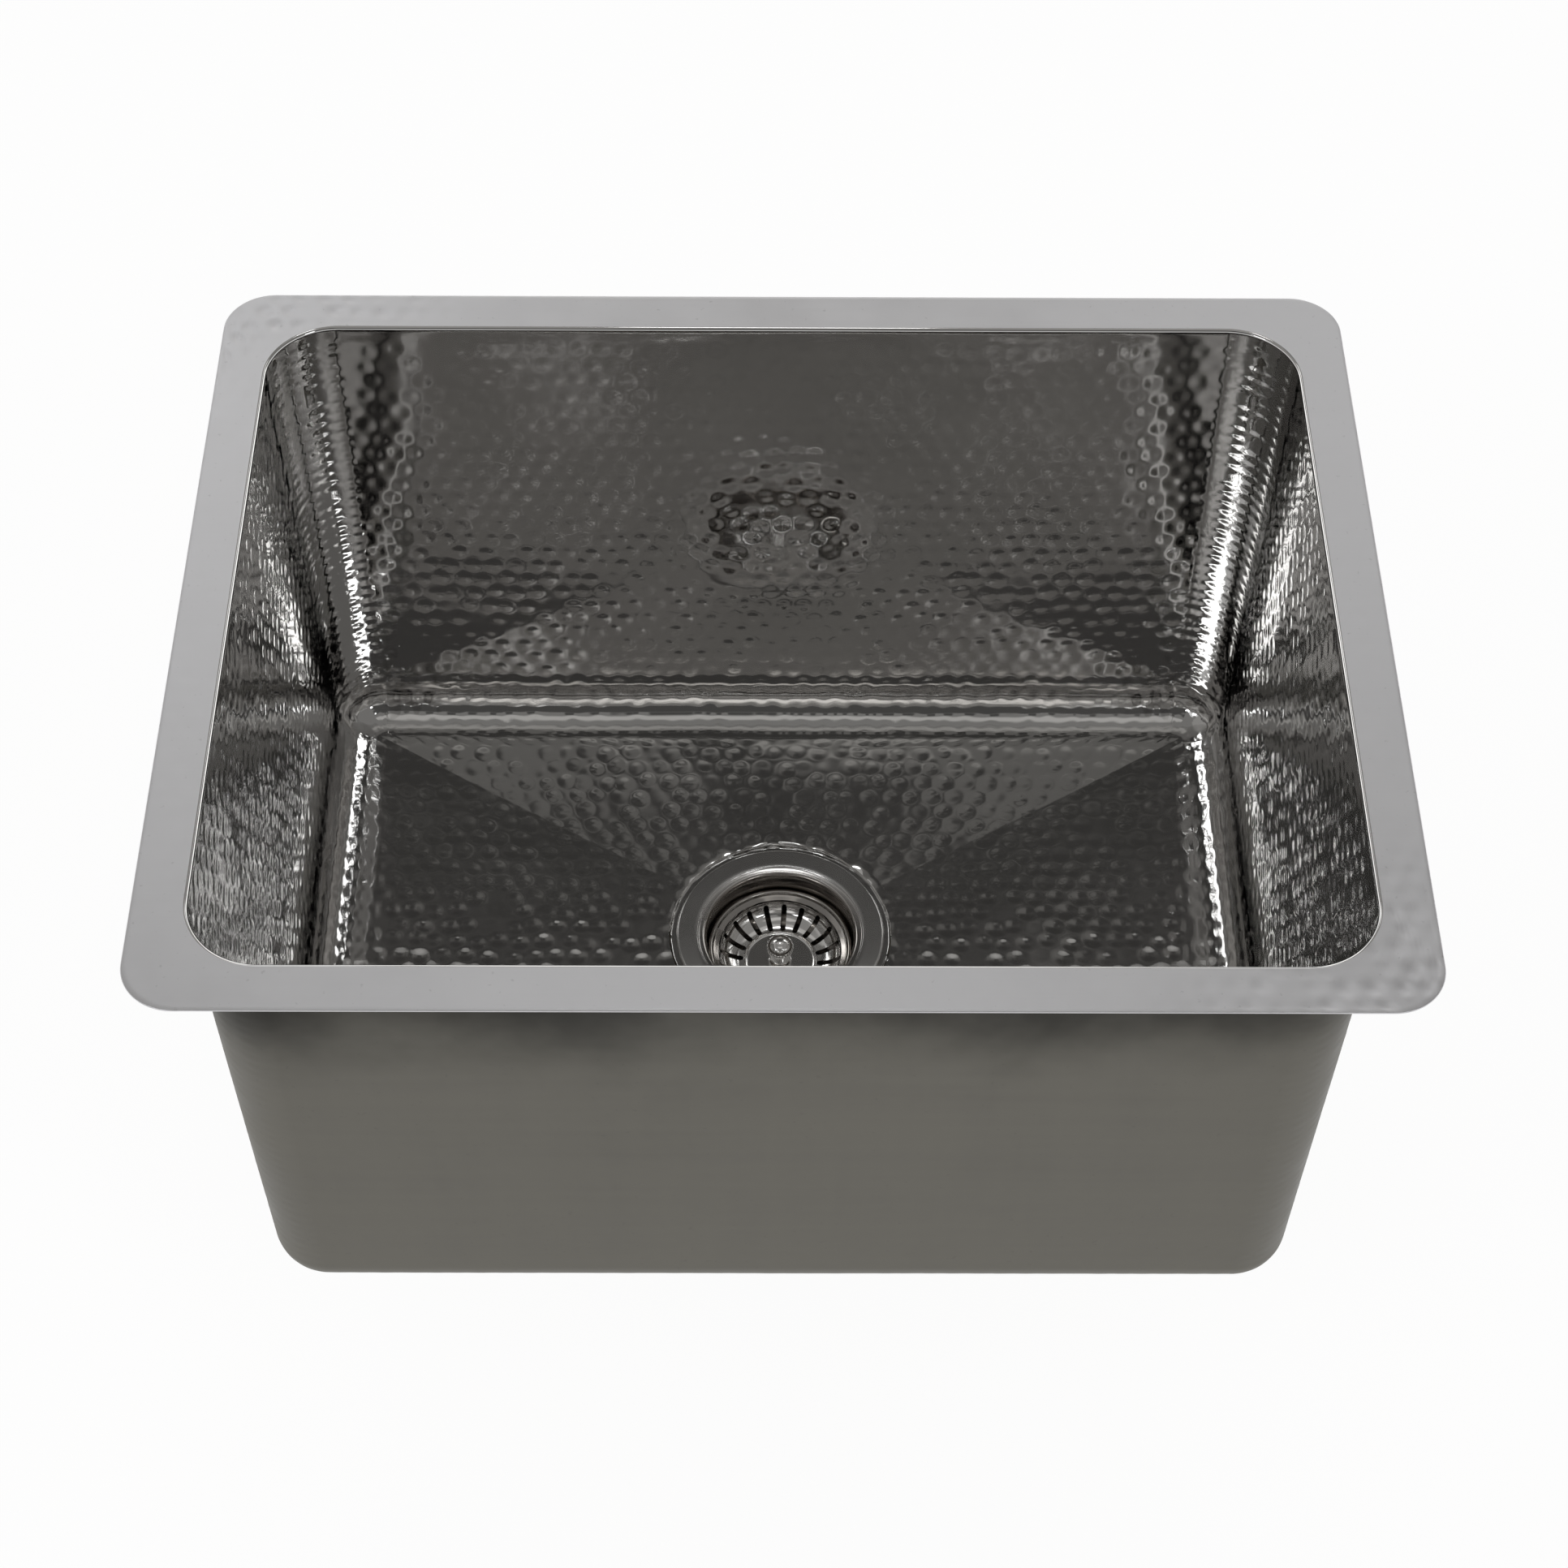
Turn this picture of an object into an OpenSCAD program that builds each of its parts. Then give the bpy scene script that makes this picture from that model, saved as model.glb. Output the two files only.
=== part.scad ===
// Undermount kitchen sink: one deep rectangular bowl of hammered stainless steel with a flat rim,
// and a basket strainer in the drain. The origin is the centre of the rim's top face, +X is to the
// right, +Y is to the back and +Z is up.

/* [Rim] */
// Length of the rim, left to right
rim_length = 584.2; // [480:0.1:800]
// Width of the rim, front to back
rim_width = 457.2; // [400:0.1:600]
// Radius of the rim's outer corners
rim_corner_r = 25.4; // [5:0.1:60]
// Width of the flat rim around the opening
rim_land = 25.4; // [15:0.1:40]
// Radius of the bend from the rim into the walls
rim_bend_r = 3; // [2:0.1:6]

/* [Bowl] */
// Thickness of the steel sheet
sheet = 1.2; // [0.8:0.1:1.6]
// Depth of the floor along the foot of the walls
wall_depth = 296.8; // [150:0.1:320]
// How far each wall leans in from the rim to the floor
wall_draft = 7.4; // [2:0.1:12]
// Inner radius of the upright corners, at the rim
corner_r = 35; // [32:0.1:60]
// Inner radius of the bend from the walls into the floor
floor_bend_r = 22; // [8:0.1:22]
// Fall of the floor from the walls to the drain
floor_fall = 8; // [6:0.1:14]
// Distance of the drain behind the middle of the bowl
drain_back = 34; // [0:0.1:50]

/* [Strainer body] */
// Radius of the hole in the floor
drain_hole_r = 44.45; // [43.5:0.01:46]
// Radius of the strainer's flange
flange_r = 58.6; // [55:0.1:62]
// Thickness of the flange
flange_t = 1.4; // [1:0.1:1.6]
// Inner radius of the cup
cup_r = 41.6; // [41.4:0.05:42]
// Wall of the cup
cup_wall = 1.3; // [1:0.05:1.5]
// Depth of the cup's floor below the flange's seat
cup_depth = 38; // [36:0.1:60]
// Radius of the bend from the cup's wall into its floor
cup_bend_r = 11; // [6:0.1:12]
// Inner radius of the outlet
outlet_r = 19.5; // [18.5:0.1:20.5]
// Outer radius of the outlet's thread
outlet_thread_r = 23.7; // [23:0.1:24.5]
// Length of the outlet below the cup
outlet_length = 20.7; // [16:0.1:35]
// Pitch of the threads
thread_pitch = 2.2; // [1.6:0.1:3]
// Depth of the threads
thread_depth = 0.7; // [0.4:0.05:0.8]

/* [Seals and nuts] */
// Thickness of the seal under the flange
flange_seal_t = 0.8; // [0.5:0.1:2]
// Outer radius of the washers under the floor
washer_r = 56; // [50:0.1:60]
// Thickness of the rubber washer
rubber_washer_t = 3; // [2:0.1:5]
// Thickness of the fibre friction washer
friction_washer_t = 1; // [0.5:0.1:2]
// Height of the lock nut
lock_nut_h = 9; // [6:0.1:12]
// Radius of the lock nut without its lugs
lock_nut_r = 50; // [48:0.1:54]
// Number of lugs on the lock nut
lock_nut_lugs = 8; // [4:1:12]
// Reach of the lugs beyond the lock nut
lug_reach = 5; // [3:0.1:8]
// Across-flats size of the coupling nut
coupling_flats = 57; // [53:0.1:62]
// Thickness of the lip under the coupling nut
coupling_lip_t = 3; // [2:0.1:4]
// Thickness of the tailpiece washer
tail_washer_t = 1.5; // [1:0.1:3]

/* [Tailpiece] */
// Outer radius of the tailpiece
tail_r = 19.05; // [18:0.05:19.2]
// Wall of the tailpiece
tail_wall = 1.2; // [0.8:0.1:2]
// Length of the tailpiece
tail_length = 101.6; // [60:0.1:200]
// Radius of the tailpiece's flange
tail_flange_r = 22.6; // [21.5:0.1:22.8]
// Thickness of the tailpiece's flange
tail_flange_t = 1.5; // [1:0.1:2]

/* [Basket] */
// Gap between the basket's rim and the cup
basket_gap = 0.6; // [0.4:0.05:0.8]
// Distance of the basket's rim below the flange's top
basket_sink = 13.5; // [11:0.1:15]
// Depth of the basket inside
basket_depth = 14; // [12:0.1:15]
// Thickness of the basket's sheet
basket_t = 0.8; // [0.5:0.05:1]
// Radius of the basket's rolled rim, in section
basket_roll_r = 1.5; // [1:0.05:1.6]
// Radius at which the basket's curved wall starts
basket_mouth_r = 35; // [33:0.1:36]
// Radius of the basket's flat floor
basket_floor_r = 20.5; // [19:0.1:22]
// Number of slots around the basket
slot_count = 20; // [12:1:24]
// Width of a slot
slot_w = 3.1; // [1.6:0.1:3.6]
// Distance of the slots from both ends of the curved wall
slot_margin = 0.6; // [0.4:0.1:2]
// Turn of the first slot from +X
slot_turn = 13.8; // [0:0.1:18]

/* [Knob and stem] */
// Height of the knob above the basket's floor
knob_h = 19; // [15:0.1:24]
// Radius of the knob's bulb
knob_r = 7.7; // [6:0.05:8.4]
// Radius of the knob's foot
knob_foot_r = 6.7; // [5.6:0.05:7.4]
// Radius of the knob's waist
knob_waist_r = 5.8; // [4:0.05:6.4]
// Radius of the stem
stem_r = 2.5; // [2:0.05:3]
// Depth of the stem inside the knob
stem_grip = 10; // [6:0.1:12]
// Radius of the stem's head
stem_head_r = 3.8; // [3.5:0.05:4]
// Thickness of the stem's head
stem_head_t = 1.5; // [1:0.1:2.5]

/* [Stopper] */
// Radius of the rubber stopper
stopper_r = 26; // [24:0.1:27.5]
// Thickness of the stopper at its rim
stopper_lip_t = 2.4; // [1.6:0.1:3]
// Thickness of the stopper at its middle
stopper_t = 5; // [4:0.1:6]
// Radius of the stopper's raised middle
stopper_hub_r = 16; // [12:0.1:18]
// Radius of the steel plate over the stopper
plate_r = 14; // [9:0.1:15]
// Thickness of the steel plate
plate_t = 0.8; // [0.5:0.1:1.2]
// Outer radius of the spacer under the basket
spacer_r = 6; // [5:0.1:7.5]

/* [Snap peg and cross bar] */
// Outer radius of the snap peg's rings
peg_r = 4.4; // [4.2:0.05:5]
// Depth of the peg's grooves
peg_groove = 0.5; // [0.3:0.05:0.7]
// Length of the snap peg
peg_length = 14; // [11:0.1:18]
// Width of the slits in the peg's foot
peg_slit_w = 1; // [0.6:0.1:1.4]
// Outer radius of the cross bar's hub
hub_r = 7.5; // [6.5:0.1:9]
// Height of the cross bar
bar_h = 4; // [3:0.1:6]
// Width of the cross bar's arms
bar_w = 3; // [2:0.1:4]
// Number of arms on the cross bar
bar_arms = 4; // [2:1:6]
// Depth of the cross bar below the cup's floor
bar_drop = 2; // [1:0.1:4]
// Thickness of the cross bar's outer ring
bar_ring_t = 1.2; // [0.8:0.1:2]

/* [Clearances] */
// Radial gap between a nut or washer and the thread that it goes round
thread_gap = 0.15; // [0.1:0.05:0.3]
// Radial running gap of the snap peg on the stem and in the cross bar
running_gap = 0.08; // [0.05:0.01:0.1]
// Radial gap between pieces clamped on the stem and the stem
clamp_gap = 0.05; // [0.02:0.01:0.1]
// Gap between the stopper and the cup's floor
seat_gap = 0.3; // [0.2:0.05:0.5]
// End play of the snap peg between the stopper and the stem's head
peg_play = 0.2; // [0.1:0.05:0.4]
// Gap between the flange's edge and the dish around the drain
dish_gap = 2.4; // [1:0.1:4]

/* [Hidden] */
$fn = 96;
// Overshoot of cutting shapes
cut = 1;
// Steps in the two bends of the sheet
rim_bend_steps = 4;
floor_bend_steps = 8;

// Opening of the bowl at the rim
open_x = rim_length / 2 - rim_land;
open_y = rim_width / 2 - rim_land;
// Centres of the upright corners, the same at every height
corner_x = open_x - corner_r;
corner_y = open_y - corner_r;
draft_angle = atan(wall_draft / wall_depth);
// Height of the centre of the floor bend
bend_z = floor_bend_r - wall_depth;
// Inset of the floor bend's centre from the wall at the rim
bend_inset = floor_bend_r / cos(draft_angle) - wall_draft * bend_z / wall_depth;
// Half sizes of the floor that falls to the drain
fall_margin = 3;
fall_x = open_x - bend_inset - fall_margin;
fall_y = open_y - bend_inset - fall_margin;
// Flat seat around the drain hole
seat_z = -wall_depth - floor_fall;
dish_r = flange_r + dish_gap;
under_z = seat_z - sheet;

// Strainer body
flange_z = seat_z + flange_seal_t;
flange_top = flange_z + flange_t;
// Bead, bevel and round mouth between the flange and the cup
mouth_bend_r = 2.6;
bevel_r = cup_r + mouth_bend_r;
bevel_w = 2.8;
bead_r = bevel_r + bevel_w;
bead_drop = 0.5;
bevel_drop = 1.2;
edge_round = 0.4;
// Plain length of the cup between the floor and the thread
thread_start = 2;
// Steps in the turned bends
mouth_bend_steps = 6;
cup_bend_steps = 8;
cup_out_r = cup_r + cup_wall;
cup_floor_z = seat_z - cup_depth;
cup_under_z = cup_floor_z - cup_wall;
outlet_end_z = cup_under_z - outlet_length;
thread_top_z = under_z - thread_start;

// Stack under the floor
rubber_z = under_z - rubber_washer_t;
friction_z = rubber_z - friction_washer_t;
lock_nut_z = friction_z - lock_nut_h;
stack_r = cup_out_r + thread_gap;

// Outlet stack, with the share of the outlet that the coupling nut covers
tail_top_z = outlet_end_z - tail_washer_t;
tail_lip_z = tail_top_z - tail_flange_t;
coupling_share = 0.65;
coupling_top_z = outlet_end_z + coupling_share * outlet_length;
coupling_end_z = tail_lip_z - coupling_lip_t;
// Neck of the tailpiece, a little wider than the tube, that centres the coupling nut
neck_swell = 0.2;
neck_end_z = coupling_end_z - 1;

// Basket
basket_r = cup_r - basket_gap;
basket_top = flange_top - basket_sink;
basket_floor_z = basket_top - basket_depth;
basket_under_z = basket_floor_z - basket_t;

// Stopper and stem
stopper_z = cup_floor_z + seat_gap;
plate_z = stopper_z + stopper_t;
spacer_z = plate_z + plate_t;
peg_top_z = stopper_z - peg_play;
peg_end_z = peg_top_z - peg_length;
stem_head_z = peg_end_z - peg_play;
stem_end_z = stem_head_z - stem_head_t;
stem_top_z = basket_floor_z + stem_grip;
stem_bore_r = stem_r + clamp_gap;

// Cross bar
bar_top_z = cup_floor_z - bar_drop;
bar_z = bar_top_z - bar_h;
bar_overlap = 0.5;

// Inset of the flange's seal from the flange's edge
flange_seal_in = 1.5;
// Pressing collar and lugs of the lock nut
collar_t = 2;
lug_w = 11;
lug_inset = 0.5;
// Radial gap between the tailpiece and the coupling nut's lip
tail_gap = 0.3;
// Drop from the basket's rim to its curved wall
mouth_drop = 3.2;
// Steps in the basket's rolled rim and curved wall, and in the knob's bulb
roll_steps = 12;
wall_steps = 10;
bulb_steps = 14;
// Angle at which the rolled rim ends under the basket's shoulder
roll_end = -120;
// Height of the knob's foot, and of the bulb's half as a share of the knob
foot_t = 1.2;
bulb_share = 0.31;
// Shares of the snap peg's length in its collar and in its tip
collar_share = 0.36;
tip_share = 0.2;

// Points of an arc about [x, z], from angle a0 to a1
function arc(x, z, r, a0, a1, n) =
    [for (i = [0:n]) let (a = a0 + (a1 - a0) * i / n) [x + r * cos(a), z + r * sin(a)]];

// Share of a thread's pitch below the flat crest of a ridge, and above it
flank_share = 0.35;

// Points up the ridges of a thread on radius r, from height z0 to the higher z1
function ridges(r, z0, z1) =
    let (n = floor((z1 - z0) / thread_pitch), p = (z1 - z0) / n)
    concat(
        [for (i = [0:n - 1]) each [
            [r - thread_depth, z0 + p * i],
            [r, z0 + p * (i + flank_share)],
            [r, z0 + p * (i + 1 - flank_share)]
        ]],
        [[r - thread_depth, z1]]
    );

// Flat ring between two radii and two heights
module ring(r_in, r_out, z_low, z_high) {
    translate([0, 0, z_low])
        difference() {
            cylinder(r = r_out, h = z_high - z_low);
            translate([0, 0, -cut]) cylinder(r = r_in, h = z_high - z_low + 2 * cut);
        }
}

// Moves a shape to the axis of the drain
module at_drain() {
    translate([0, drain_back, 0]) children();
}

// Half section of the bowl from its middle line out, with the wall at u = half on the rim's level.
// grow is 0 for the hollow, which rises through the rim, and the sheet's thickness for the outside.
function half_section(half, grow) =
    let (
        bend_u = half - bend_inset,
        lip_u = half + rim_bend_r * (1 / cos(draft_angle) - tan(draft_angle)),
        top = grow > 0 ? -grow : cut
    )
    concat(
        [[0, top], [lip_u, top]],
        arc(lip_u, -rim_bend_r, rim_bend_r - grow, 90, 180 - draft_angle, rim_bend_steps),
        arc(bend_u, bend_z, floor_bend_r + grow, -draft_angle, -90, floor_bend_steps),
        [[0, -wall_depth - grow]]
    );

// The same section on both sides of the middle line
function full_section(half, grow) =
    let (right = [for (p = half_section(half, grow)) if (p[0] > 0) p])
    concat(right, [for (i = [len(right) - 1:-1:0]) [-right[i][0], right[i][1]]]);

// Plate with round corners, from height z up by t
module round_plate(half_x, half_y, r, z, t) {
    translate([-half_x, r - half_y, z]) cube([2 * half_x, 2 * (half_y - r), t]);
    translate([r - half_x, -half_y, z]) cube([2 * (half_x - r), 2 * half_y, t]);
    for (x = [-1, 1], y = [-1, 1])
        translate([x * (half_x - r), y * (half_y - r), z]) cylinder(r = r, h = t);
}

// Solid with the bowl's walls, corners and floor bends
module bowl_form(grow) {
    rotate([90, 0, 0])
        linear_extrude(height = 2 * corner_y, center = true) polygon(full_section(open_x, grow));
    rotate([90, 0, 90])
        linear_extrude(height = 2 * corner_x, center = true) polygon(full_section(open_y, grow));
    for (turn = [0:3]) {
        x = (turn == 0 || turn == 3) ? corner_x : -corner_x;
        y = turn < 2 ? corner_y : -corner_y;
        translate([x, y, 0])
            rotate([0, 0, 90 * turn])
                rotate_extrude(angle = 90) polygon(half_section(corner_r, grow));
    }
}

// Four faces that fall to the drain and meet in creases
module floor_fall_form(grow) {
    top = -wall_depth - grow;
    intersection() {
        rotate([90, 0, 0])
            linear_extrude(height = rim_width, center = true)
                polygon([[-fall_x, top], [0, top - floor_fall], [fall_x, top]]);
        rotate([90, 0, 90])
            linear_extrude(height = rim_length, center = true)
                polygon([[-fall_y, top], [drain_back, top - floor_fall], [fall_y, top]]);
    }
}

// The rim and the bowl, one welded sheet
module sink_bowl() {
    color([0.62, 0.61, 0.58])
        difference() {
            union() {
                round_plate(rim_length / 2, rim_width / 2, rim_corner_r, -sheet, sheet);
                bowl_form(sheet);
                floor_fall_form(sheet);
                at_drain() translate([0, 0, under_z]) cylinder(r = dish_r + sheet, h = floor_fall);
            }
            bowl_form(0);
            floor_fall_form(0);
            at_drain() translate([0, 0, seat_z]) cylinder(r = dish_r, h = 2 * floor_fall);
            at_drain() translate([0, 0, under_z - cut]) cylinder(r = drain_hole_r, h = sheet + 2 * cut);
        }
}

// Turned outline of the strainer body, once round from the flange's edge
function strainer_outline() =
    let (bend_x = cup_r - cup_bend_r, bend_z = cup_floor_z + cup_bend_r)
    concat(
        [
            [flange_r, flange_top - edge_round],
            [flange_r - edge_round, flange_top],
            [bead_r, flange_top],
            [bead_r - bead_drop, flange_top - bead_drop]
        ],
        arc(bevel_r, flange_top - bevel_drop - mouth_bend_r, mouth_bend_r, 90, 180, mouth_bend_steps),
        arc(bend_x, bend_z, cup_bend_r, 0, -90, cup_bend_steps),
        [[outlet_r, cup_floor_z], [outlet_r, outlet_end_z]],
        ridges(outlet_thread_r, outlet_end_z, cup_under_z - thread_pitch),
        [[outlet_thread_r - thread_depth, cup_under_z]],
        arc(bend_x, bend_z, cup_bend_r + cup_wall, -90, 0, cup_bend_steps),
        ridges(cup_out_r, bend_z, thread_top_z),
        [
            [cup_out_r, thread_top_z],
            [cup_out_r, flange_z],
            [flange_r - edge_round, flange_z],
            [flange_r, flange_z + edge_round]
        ]
    );

// Flange, threaded cup and threaded outlet
module strainer_body() {
    color([0.78, 0.77, 0.75])
        at_drain() rotate_extrude() polygon(strainer_outline());
}

// Bridge across the outlet that guides and holds the snap peg
module cross_bar() {
    ring_in = outlet_r - bar_ring_t;
    color([0.7, 0.69, 0.67])
        at_drain() {
            ring(ring_in, outlet_r, bar_z, bar_top_z);
            ring(peg_r + running_gap, hub_r, bar_z, bar_top_z);
            for (i = [0:bar_arms - 1])
                rotate([0, 0, 360 * i / bar_arms])
                    translate([hub_r - bar_overlap, -bar_w / 2, bar_z])
                        cube([ring_in - hub_r + 2 * bar_overlap, bar_w, bar_h]);
        }
}

// Soft seal between the flange and its seat
module flange_seal() {
    color([0.86, 0.84, 0.78])
        at_drain() ring(drain_hole_r, flange_r - flange_seal_in, seat_z, flange_z);
}

// Washer that seals the hole from below
module rubber_washer() {
    color([0.1, 0.1, 0.1])
        at_drain() ring(stack_r, washer_r, rubber_z, under_z);
}

// Washer that lets the lock nut turn against the rubber
module friction_washer() {
    color([0.7, 0.6, 0.45])
        at_drain() ring(stack_r, washer_r, friction_z, rubber_z);
}

// Cast nut with a pressing collar and lugs for a wrench
module lock_nut() {
    collar_z = friction_z - collar_t;
    color([0.55, 0.55, 0.56])
        at_drain()
            difference() {
                union() {
                    translate([0, 0, collar_z]) cylinder(r = lock_nut_r + lug_reach, h = collar_t);
                    translate([0, 0, lock_nut_z]) cylinder(r = lock_nut_r, h = lock_nut_h - cut);
                    for (i = [0:lock_nut_lugs - 1])
                        rotate([0, 0, 360 * (i + 0.5) / lock_nut_lugs])
                            translate([lock_nut_r - lug_reach, -lug_w / 2, lock_nut_z])
                                cube([2 * lug_reach - lug_inset, lug_w, lock_nut_h - cut]);
                }
                translate([0, 0, lock_nut_z - cut]) cylinder(r = stack_r, h = lock_nut_h + 2 * cut);
            }
}

// Six-sided slip nut that draws the tailpiece up to the outlet
module coupling_nut() {
    height = coupling_top_z - coupling_end_z;
    color([0.72, 0.71, 0.69])
        at_drain()
            difference() {
                translate([0, 0, coupling_end_z])
                    cylinder(r = coupling_flats / 2 / cos(30), h = height, $fn = 6);
                translate([0, 0, tail_lip_z])
                    cylinder(r = outlet_thread_r + thread_gap, h = height);
                translate([0, 0, coupling_end_z - cut])
                    cylinder(r = tail_r + tail_gap, h = height);
            }
}

// Seal between the outlet and the tailpiece
module tail_washer() {
    color([0.9, 0.9, 0.88])
        at_drain() ring(outlet_r, tail_flange_r, tail_top_z, outlet_end_z);
}

// Straight drain tube with a flange at its top
module tailpiece() {
    color([0.76, 0.75, 0.73])
        at_drain()
            difference() {
                union() {
                    translate([0, 0, tail_lip_z]) cylinder(r = tail_flange_r, h = tail_flange_t);
                    translate([0, 0, neck_end_z])
                        cylinder(r = tail_r + neck_swell, h = tail_top_z - neck_end_z);
                    translate([0, 0, tail_top_z - tail_length]) cylinder(r = tail_r, h = tail_length);
                }
                translate([0, 0, tail_top_z - tail_length - cut])
                    cylinder(r = tail_r - tail_wall, h = tail_length + 2 * cut);
            }
}

// Point on the basket's curved wall, a quarter of an ellipse, at angle a below its mouth.
// grow is 0 inside and the sheet's thickness outside.
function bowl_wall(a, grow) =
    let (fall = basket_depth - mouth_drop)
    [
        basket_floor_r + (basket_mouth_r - basket_floor_r + grow) * cos(a),
        basket_floor_z + fall - (fall + grow) * sin(a)
    ];

// Pressed dish with a rolled rim, a curved slotted wall and a flat floor
module basket() {
    mouth_z = basket_top - mouth_drop;
    outline = concat(
        [[stem_bore_r, basket_floor_z]],
        [for (i = [0:wall_steps]) bowl_wall(90 - 90 * i / wall_steps, 0)],
        arc(basket_r - basket_roll_r, basket_top - basket_roll_r, basket_roll_r, 180, roll_end, roll_steps),
        [[basket_mouth_r + basket_t, mouth_z - basket_t]],
        [for (i = [1:wall_steps]) bowl_wall(90 * i / wall_steps, basket_t)],
        [[stem_bore_r, basket_under_z]]
    );
    slot_in = basket_floor_r + slot_margin + slot_w / 2;
    slot_out = basket_mouth_r + 2 * basket_t;
    slot_h = mouth_z - basket_t - slot_margin - basket_under_z + cut;
    color([0.76, 0.75, 0.73])
        at_drain()
            difference() {
                rotate_extrude() polygon(outline);
                for (i = [0:slot_count - 1])
                    rotate([0, 0, slot_turn + 360 * i / slot_count])
                        translate([0, 0, basket_under_z - cut]) {
                            translate([slot_in, 0, 0]) cylinder(r = slot_w / 2, h = slot_h);
                            translate([slot_in, -slot_w / 2, 0])
                                cube([slot_out - slot_in, slot_w, slot_h]);
                        }
            }
}

// Polished grip with a round bulb, a narrow waist and a wider foot
module knob() {
    bulb_h = knob_h * bulb_share;
    bulb_z = basket_floor_z + knob_h - bulb_h;
    neck = acos(knob_waist_r / knob_r);
    waist_z = bulb_z - bulb_h * sin(neck);
    outline = concat(
        [[0, basket_floor_z], [knob_foot_r, basket_floor_z], [knob_foot_r, basket_floor_z + foot_t]],
        [[knob_waist_r, basket_floor_z + 2 * foot_t]],
        [for (i = [0:bulb_steps]) let (a = -neck + (90 + neck) * i / bulb_steps)
            [knob_r * cos(a), bulb_z + bulb_h * sin(a)]]
    );
    color([0.82, 0.82, 0.81])
        at_drain()
            difference() {
                rotate_extrude() polygon(outline);
                translate([0, 0, basket_floor_z - cut])
                    cylinder(r = stem_bore_r, h = stem_top_z + clamp_gap - basket_floor_z + cut);
            }
}

// Screw that clamps the knob, basket and stopper together and carries the snap peg
module stem() {
    color([0.66, 0.65, 0.62])
        at_drain() {
            translate([0, 0, stem_end_z]) cylinder(r = stem_r, h = stem_top_z - stem_end_z);
            translate([0, 0, stem_end_z]) cylinder(r = stem_head_r, h = stem_head_t);
        }
}

// Sleeve that holds the basket above the stopper
module spacer() {
    color([0.92, 0.92, 0.9])
        at_drain() ring(stem_bore_r, spacer_r, spacer_z, basket_under_z);
}

// Steel disc that presses on the stopper
module stopper_plate() {
    color([0.7, 0.69, 0.67])
        at_drain() ring(stem_bore_r, plate_r, plate_z, spacer_z);
}

// Rubber disc that seals the outlet
module stopper() {
    color([0.09, 0.09, 0.09])
        at_drain()
            rotate_extrude()
                polygon([
                    [stem_bore_r, stopper_z],
                    [stopper_r, stopper_z],
                    [stopper_r, stopper_z + stopper_lip_t],
                    [stopper_hub_r, plate_z],
                    [stem_bore_r, plate_z]
                ]);
}

// Plastic sleeve on the stem, whose rings snap into the cross bar
module snap_peg() {
    groove_r = peg_r - peg_groove;
    tip = peg_length * tip_share;
    collar = peg_length * collar_share;
    step = (peg_length - collar - tip) / 3;
    z1 = peg_top_z - collar;
    color([0.93, 0.93, 0.91])
        at_drain()
            difference() {
                rotate_extrude()
                    polygon([
                        [stem_r + running_gap, peg_top_z],
                        [peg_r, peg_top_z],
                        [peg_r, z1],
                        [groove_r, z1 - peg_groove],
                        [groove_r, z1 - step],
                        [peg_r, z1 - step - peg_groove],
                        [peg_r, z1 - 2 * step],
                        [groove_r, z1 - 2 * step - peg_groove],
                        [groove_r, peg_end_z + tip + peg_groove],
                        [peg_r, peg_end_z + tip],
                        [groove_r - peg_groove, peg_end_z],
                        [stem_r + running_gap, peg_end_z]
                    ]);
                for (turn = [0, 90])
                    rotate([0, 0, turn])
                        translate([-2 * peg_r, -peg_slit_w / 2, peg_end_z - cut])
                            cube([4 * peg_r, peg_slit_w, tip + 2 * step + cut]);
            }
}

sink_bowl();
strainer_body();
cross_bar();
flange_seal();
rubber_washer();
friction_washer();
lock_nut();
coupling_nut();
tail_washer();
tailpiece();
basket();
knob();
stem();
spacer();
stopper_plate();
stopper();
snap_peg();
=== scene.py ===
"""An undermount kitchen sink of hammered stainless steel, with the basket strainer in its drain.

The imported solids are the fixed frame. The bowl, the strainer body, the basket and the knob are
worked out again here as fine surfaces, and every other solid keeps its shape and gets a finish.
Lengths are in metres, in the frame of the solids: the origin is the centre of the rim's top face,
+X is to the right, +Y is to the back and +Z is up.
"""

import logging
import math
from dataclasses import dataclass, field, replace
from enum import Enum

import bpy
import numpy as np
from mathutils import Matrix, Vector


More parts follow.
